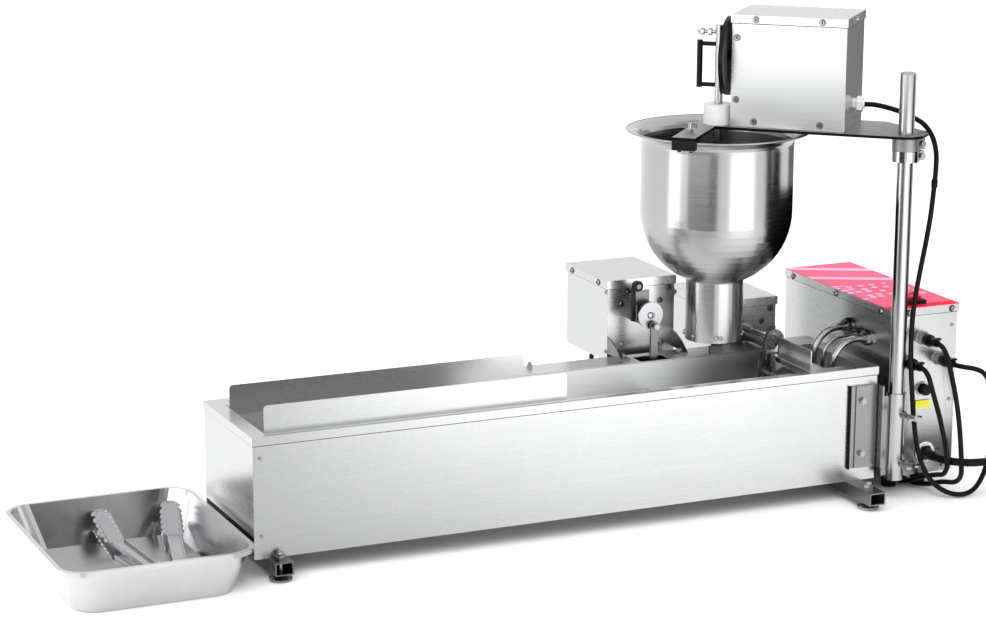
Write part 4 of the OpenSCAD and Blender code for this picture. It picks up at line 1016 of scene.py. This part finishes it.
class DONUT_OT_finishes(bpy.types.Operator):
    """Give every node of the machine but the cords its finish and soften the edges of the listed
    ones
    """

    bl_idname = "donut.finishes"
    bl_label = "Finishes"

    def execute(self, context):
        left = set(NODES)
        for name, nodes in NODE_FINISHES.items():
            for node in nodes.split():
                piece = NODES[node]
                for slot in piece.material_slots:
                    slot.material = finish(name)
                left.discard(node)
        if left != CORD_NODES:
            raise RuntimeError(f"check the finish of these nodes: {sorted(left ^ CORD_NODES)}")
        for node in SOFTENED.split():
            weld = NODES[node].modifiers.new("weld", "WELD")
            weld.merge_threshold = 0.00002
            bevel = NODES[node].modifiers.new("edges", "BEVEL")
            bevel.width = 0.0005
            bevel.segments = 2
            bevel.limit_method = "ANGLE"
            bevel.angle_limit = math.radians(50)
            if node in ROUNDED:
                NODES[node].modifiers.new("flat faces", "WEIGHTED_NORMAL")
                continue
            mesh = NODES[node].data
            mesh.shade_flat()
            if "custom_normal" in mesh.attributes:
                mesh.attributes.remove(mesh.attributes["custom_normal"])
        return {"FINISHED"}


SCREW_FACES = (
    # outward way, places of the screws on the face
    (
        (0, -1, 0),
        [(637, 215, 87), (627, 215, 70), (688, 215, 70), (702, 215, 87), (804, 215, 41),
         (794, 215, 24), (855, 215, 24), (869, 215, 41)],
    ),
    ((-1, 0, 0), [(603, 241, 98), (603, 326, 98), (770, 241, 52), (770, 326, 52)]),
    ((1, 0, 0), [(713, 241, 98), (713, 326, 98), (880, 241, 52), (880, 326, 52)]),
    ((-1, 0, 0), [(938, 25, 72), (938, 147, 72), (938, 270, 72)]),
    ((1, 0, 0), [(1050, 25, 72), (1050, 147, 72), (1050, 270, 72)]),
    ((0, -1, 0), [(968, -0.5, 72), (1038, -0.5, 72)]),
)
ARM_SCREWS = (
    # side of the gearbox case, places of the screws on it
    (1, [(116, 21.5, 478), (209, 21.5, 478), (116, 20, 336), (209, 20, 336), (235, 20, 366),
         (235, 20, 452)]),
    (-1, [(116, -97.5, 478), (209, -97.5, 478)]),
)
HEAD_HEIGHT = 0.0026  # of the case screws
PAN_HEAD = (
    # distance from the axis and height, both as shares of the radius
    (0, 0), (1, 0), (1, 0.3), (0.9, 0.5), (0.6, 0.66), (0.16, 0.7), (0.12, 0.45), (0, 0.42),
)


class DONUT_OT_screw_marks(bpy.types.Operator):
    """Paint the cross slots of the case and arm screws, and a ring round each head, in painted
    shadow
    """

    bl_idname = "donut.screw_marks"
    bl_label = "Screw slots"

    def execute(self, context):
        machine = bmesh.new()
        for way, places in SCREW_FACES:
            for place in places:
                self.mark(machine, tank(*place), Vector(way))
        add_piece("case_screw_slots", machine, "shadow", "frame", smooth=False)
        swinging = bmesh.new()
        for side, places in ARM_SCREWS:
            way = Vector((ARM_ACROSS[0] * side, ARM_ACROSS[1] * side, 0))
            for place in places:
                self.mark(swinging, arm(*place), way)
        add_piece("arm_screw_slots", swinging, "shadow", "arm", smooth=False)
        return {"FINISHED"}

    def mark(self, work, place, way):
        """A ring of painted shadow round one head and the two bars of its cross, painted shade in
        its slot.
        """
        ring(work, place + way * 0.00005, way, 0.0040, 0.0048, 0.00025)
        across = way.orthogonal().normalized()
        up = way.cross(across)
        for a, b in ((across, up), (up, across)):
            corners = [
                place + way * (HEAD_HEIGHT - 0.0004) + a * 0.0021 * i + b * 0.00045 * j
                for i, j in ((-1, -1), (1, -1), (1, 1), (-1, 1))
            ]
            prism(work, corners, way * 0.0005)


class DONUT_OT_extra_screws(bpy.types.Operator):
    """Add the small pan head screws of the bearing plate, the neck and the label side"""

    bl_idname = "donut.extra_screws"
    bl_label = "Small screws"

    def execute(self, context):
        work = bmesh.new()
        way = Vector((0, -1, 0))
        for x, z in ((627.9, 10), (688.6, 10)):
            self.head(work, tank(x, 215, z), way, 0.0038)
        for x, z in ((1040, 48), (1040, -60)):
            self.head(work, tank(x, 1.0, z), way, 0.0026)
        add_piece("small_screws", work, "hardware", "frame")
        work = bmesh.new()
        neck = tank(*HOPPER, 28)
        for degrees in (196, 256, 318):
            out = compass(degrees)
            self.head(work, neck + out * 0.041, out, 0.0032)
        add_piece("neck_screws", work, "hardware", "arm")
        return {"FINISHED"}

    def head(self, work, place, way, radius):
        turned(work, place, way, [(radius * r, radius * h) for r, h in PAN_HEAD], 24)


# Strips of painted shadow under the lids' folded edges and the deck's apron
SEAM_SHADOWS = (
    # height of the gap's lower side, rectangle of the faces round it
    (92.2, (605, 215, 711, 347)),
    (46.2, (772, 215, 878, 347)),
    (66.2, (939.5, 1, 1048.5, 292.5)),
    (-12.8, (0, 0, 920, 194)),
)
GEARBOX_SEAM_SHADOW = (471.2, (82, -96, 243, 20))  # the same, along and across the arm
SHADOW_STRIP_HEIGHT, SHADOW_STRIP_DEPTH = 0.0008, 0.0005


class DONUT_OT_seam_shadows(bpy.types.Operator):
    """Draw the painted shadow of the gap under every folded lid edge and under the deck's apron"""

    bl_idname = "donut.seams"
    bl_label = "Seams"

    def execute(self, context):
        work = bmesh.new()
        for z, sides in SEAM_SHADOWS:
            corners = [tank(*corner, z) for corner in rectangle(*sides)]
            band(work, corners, SHADOW_STRIP_HEIGHT, SHADOW_STRIP_DEPTH)
        add_piece("case_seams", work, "shadow", "frame", smooth=False)
        work = bmesh.new()
        z, sides = GEARBOX_SEAM_SHADOW
        corners = [arm(*corner, z) for corner in rectangle(*sides)]
        band(work, corners, SHADOW_STRIP_HEIGHT, SHADOW_STRIP_DEPTH)
        add_piece("gearbox_seam", work, "shadow", "arm", smooth=False)
        return {"FINISHED"}


CHAIN_TOP, CHAIN_LOW = (823.0, 20.0), (814.0, -28.0)  # axes of the two wheels, along and up
CHAIN_RADIUS = 12.9  # of the chain's line round a wheel
CHAIN_PITCH = 7.5
CHAIN_PIN = [
    (0, 0), (0.0009, 0), (0.0009, 0.0008), (0.0017, 0.0009), (0.0017, 0.0047),
    (0.0009, 0.0048), (0.0009, 0.0056), (0, 0.0056),
]
PLATE_RADIUS = 2.4  # of a link plate's round ends


class DONUT_OT_chain(bpy.types.Operator):
    """Build the roller chain of the paddle drive, link by link"""

    bl_idname = "donut.chain"
    bl_label = "Roller chain"

    def execute(self, context):
        top, low = Vector(CHAIN_TOP), Vector(CHAIN_LOW)
        radius = CHAIN_RADIUS
        along = (low - top).normalized()
        side = Vector((-along.y, along.x))
        span = (low - top).length
        loop = 2 * span + math.tau * radius
        count = round(loop / CHAIN_PITCH)
        count += count % 2

        def point(distance):
            """The place on the chain's line after a distance."""
            distance %= loop
            if distance < span:
                return top + side * radius + along * distance
            distance -= span
            if distance < math.pi * radius:
                turn = distance / radius
                return low + side * radius * math.cos(turn) + along * radius * math.sin(turn)
            distance -= math.pi * radius
            if distance < span:
                return low - side * radius - along * distance
            turn = (distance - span) / radius
            return top - side * radius * math.cos(turn) - along * radius * math.sin(turn)

        work = bmesh.new()
        pins = [point(loop * k / count) for k in range(count)]
        for k, pin in enumerate(pins):
            after = pins[(k + 1) % count]
            turned(work, tank(pin.x, 119.2, pin.y), Vector((0, 1, 0)), CHAIN_PIN, 12)
            gap = 0.4 if k % 2 else 0.9
            course = (after - pin).normalized()
            square = Vector((-course.y, course.x))
            for y, way in ((119.3 + gap, 0.0005), (124.7 - gap, -0.0005)):
                ends = []
                for centre, sign in ((after, 1), (pin, -1)):
                    for step in range(7):
                        angle = math.pi * (step / 6 - 0.5)
                        out = course * math.cos(angle) + square * math.sin(angle)
                        spot = centre + out * sign * PLATE_RADIUS
                        ends.append(tank(spot.x, y, spot.y))
                prism(work, ends, Vector((0, way, 0)))
        piece = add_piece("roller_chain", work, "rod", "frame", smooth=False)
        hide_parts("drive_chain")
        return {"FINISHED"}


RINGS = (
    # piece, finish, body, place, then inner radius, outer radius and height of each ring
    ("mains_washer", "nylon", "frame", (1002, -1.0, -134), [(0.0092, 0.0156, 0.0008)]),
    # the disc's hub ring and grooves take the shadow finish, a painted shade
    ("disc_hub", "shadow", "flip_crank", (649.7, 174.2, 61), [(0.0028, 0.0052, 0.0052)]),
    (
        "disc_grooves", "shadow", "flip_crank", (649.7, 170.0, 61),
        [(radius, radius + 0.00035, 0.00012) for radius in (0.0084, 0.0126, 0.0170)],
    ),
)
# radius and distance along the axis
GLAND_NUT = [
    (0.0062, 0), (0.0108, 0.0002), (0.0116, 0.0012), (0.0116, 0.0072), (0.0104, 0.0086),
    (0.0062, 0.0086),
]
CABLE_SLEEVE = [(0.0036, 0), (0.0044, 0.0006), (0.0044, 0.0104), (0.0036, 0.011)]
BOWL_BEADS = ((41.2, 107.0, 0.0009), (127.4, 319.5, 0.0013))  # radius, height, thickness


class DONUT_OT_fittings(bpy.types.Operator):
    """Add the washer, the disc rings in painted shade, gland nut, the bracket seam's painted
    shadow, cable sleeve and bowl beads
    """

    bl_idname = "donut.fittings"
    bl_label = "Small fittings"

    def execute(self, context):
        for name, finish_name, body, place, sizes in RINGS:
            work = bmesh.new()
            for inner, outer, height in sizes:
                ring(work, tank(*place), Vector((0, -1, 0)), inner, outer, height)
            add_piece(name, work, finish_name, body)

        work = bmesh.new()
        outward = (arm(1, 0, 0) - arm(0, 0, 0)).normalized()
        low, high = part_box("gearbox_gland")
        turned(work, (low + high) / 2 - outward * 0.007, outward, GLAND_NUT, 6)
        add_piece("gland_nut", work, "nylon", "arm", smooth=False)

        # painted shadow of the gap between the pole bracket and the front panel
        work = bmesh.new()
        slab(work, tank(874.4, -5.2, -144), tank(875.9, -0.2, -24))
        add_piece("bracket_seam", work, "shadow", "frame")

        work = bmesh.new()
        turned(work, tank(993, -12, 250), Vector((0, 0, 1)), CABLE_SLEEVE, 24)
        add_piece("cable_sleeve", work, "rubber", "stop_collar")

        work = bmesh.new()
        centre = tank(*HOPPER, 0)
        for radius, z, thick in BOWL_BEADS:
            rise = Vector((0, 0, z))
            loop = [centre + (compass(360 * k / 96) * radius + rise) / 1000 for k in range(97)]
            sweep(work, loop, thick, 8)
        add_piece("bowl_beads", work, "hardware", "arm")
        return {"FINISHED"}


TONGS = (
    # piece, body, place of the hinge, direction, lift and lean of the arm, bend of the head
    ("tongs_teeth_lower_a", "frame", (-112, 32), 99, 0.0, 0.0, 0.0, 20),
    ("tongs_teeth_lower_b", "frame", (-86, 34), 77, 0.0, 0.0, 0.0, 20),
    ("tongs_teeth_front", "tongs_front_arm", (-112, 32), 99, 9.0, 4.0, 6.0, 26),
    ("tongs_teeth_rear", "tongs_rear_arm", (-86, 34), 77, 9.0, 4.0, 6.0, 26),
)


# radius and height of a tooth's outline, and the radius at which teeth stand on a head
TOOTH = [(0.0, 0.0), (0.0043, 0.0), (0.0043, 0.0011), (0.0, 0.0011)]
HEAD_RADIUS = 0.0108
HINGE_HEIGHT = -188.5
ARM_LENGTH = 128  # from the hinge to the head
CURL = 0.75  # how far the teeth lean out of the head


class DONUT_OT_tongs(bpy.types.Operator):
    """Give the heads of the tongs their scalloped, curled edges"""

    bl_idname = "donut.tongs"
    bl_label = "Tongs"

    def execute(self, context):
        for name, body, (x, y), turn, lift, lean, along, bend in TONGS:
            spot = (
                Matrix.Translation(tank(x, y, HINGE_HEIGHT))
                @ Matrix.Rotation(math.radians(turn), 4, "Z")
                @ Matrix.Translation((0.0, 0.0, lift / 1000))
                @ Matrix.Rotation(math.radians(-lean), 4, "Y")
                @ Matrix.Translation(((ARM_LENGTH + along) / 1000, 0.0, 0.0))
                @ Matrix.Rotation(math.radians(-bend), 4, "Y")
            )
            inward = -1.0 if lift else 1.0
            work = bmesh.new()
            for place, way in self.teeth():
                outward = Vector((way.x, way.y, 0.0))
                normal = (Vector((0.0, 0.0, 1.0)) - outward * CURL * inward).normalized()
                centre = place + Vector((0.0, 0.0, 0.0012 * inward))
                turned(work, spot @ centre, (spot.to_3x3() @ normal).normalized(), TOOTH, 18)
            add_piece(name, work, "hardware", body, smooth=False)
        return {"FINISHED"}

    def teeth(self):
        """Places of the teeth on a head and the way each one points."""
        for s in (8, 17, 26, 35, 44):
            for side in (-1, 1):
                yield Vector((s / 1000, side * HEAD_RADIUS, 0.0004)), Vector((0.0, side, 0.0))
        for angle in (-60, -20, 20, 60):
            way = compass(angle)
            yield Vector((0.050, 0.0, 0.0004)) + way * HEAD_RADIUS, way


class DONUT_OT_label(bpy.types.Operator):
    """Stick the bare yellow label under the reset button"""

    bl_idname = "donut.label"
    bl_label = "Reset label"

    def execute(self, context):
        work = bmesh.new()
        slab(work, tank(984, -1.0, -68), tank(1008, -0.55, -57), 0.0001)
        add_piece("reset_label", work, "label", "frame", smooth=False)
        return {"FINISHED"}


OPERATORS = (
    DONUT_OT_camera,
    DONUT_OT_stage,
    DONUT_OT_finishes,
    DONUT_OT_cables,
    DONUT_OT_mains,
    DONUT_OT_label,
    DONUT_OT_screw_marks,
    DONUT_OT_extra_screws,
    DONUT_OT_seam_shadows,
    DONUT_OT_chain,
    DONUT_OT_fittings,
    DONUT_OT_tongs,
)


class DONUT_PT_panel(bpy.types.Panel):
    """Lists the steps that dress the machine"""

    bl_idname = "DONUT_PT_panel"
    bl_label = "Donut machine"
    bl_space_type = "VIEW_3D"
    bl_region_type = "UI"
    bl_category = "Donut machine"

    def draw(self, context):
        layout = self.layout
        for name in SETTINGS:
            group = getattr(context.scene, name)
            box = layout.box()
            for prop in group.bl_rna.properties:
                if prop.identifier not in {"rna_type", "name"}:
                    box.prop(group, prop.identifier)
        for operator in OPERATORS:
            layout.operator(operator.bl_idname)


def register():
    for group in SETTINGS.values():
        bpy.utils.register_class(group)
    for name, group in SETTINGS.items():
        setattr(bpy.types.Scene, name, PointerProperty(type=group))
    for operator in OPERATORS:
        bpy.utils.register_class(operator)
    bpy.utils.register_class(DONUT_PT_panel)


def unregister():
    bpy.utils.unregister_class(DONUT_PT_panel)
    for operator in reversed(OPERATORS):
        bpy.utils.unregister_class(operator)
    for name in SETTINGS:
        delattr(bpy.types.Scene, name)
    for group in reversed(list(SETTINGS.values())):
        bpy.utils.unregister_class(group)


def main():
    register()
    for operator in OPERATORS:
        section, name = operator.bl_idname.split(".")
        getattr(getattr(bpy.ops, section), name)()


if __name__ == "__main__":
    main()
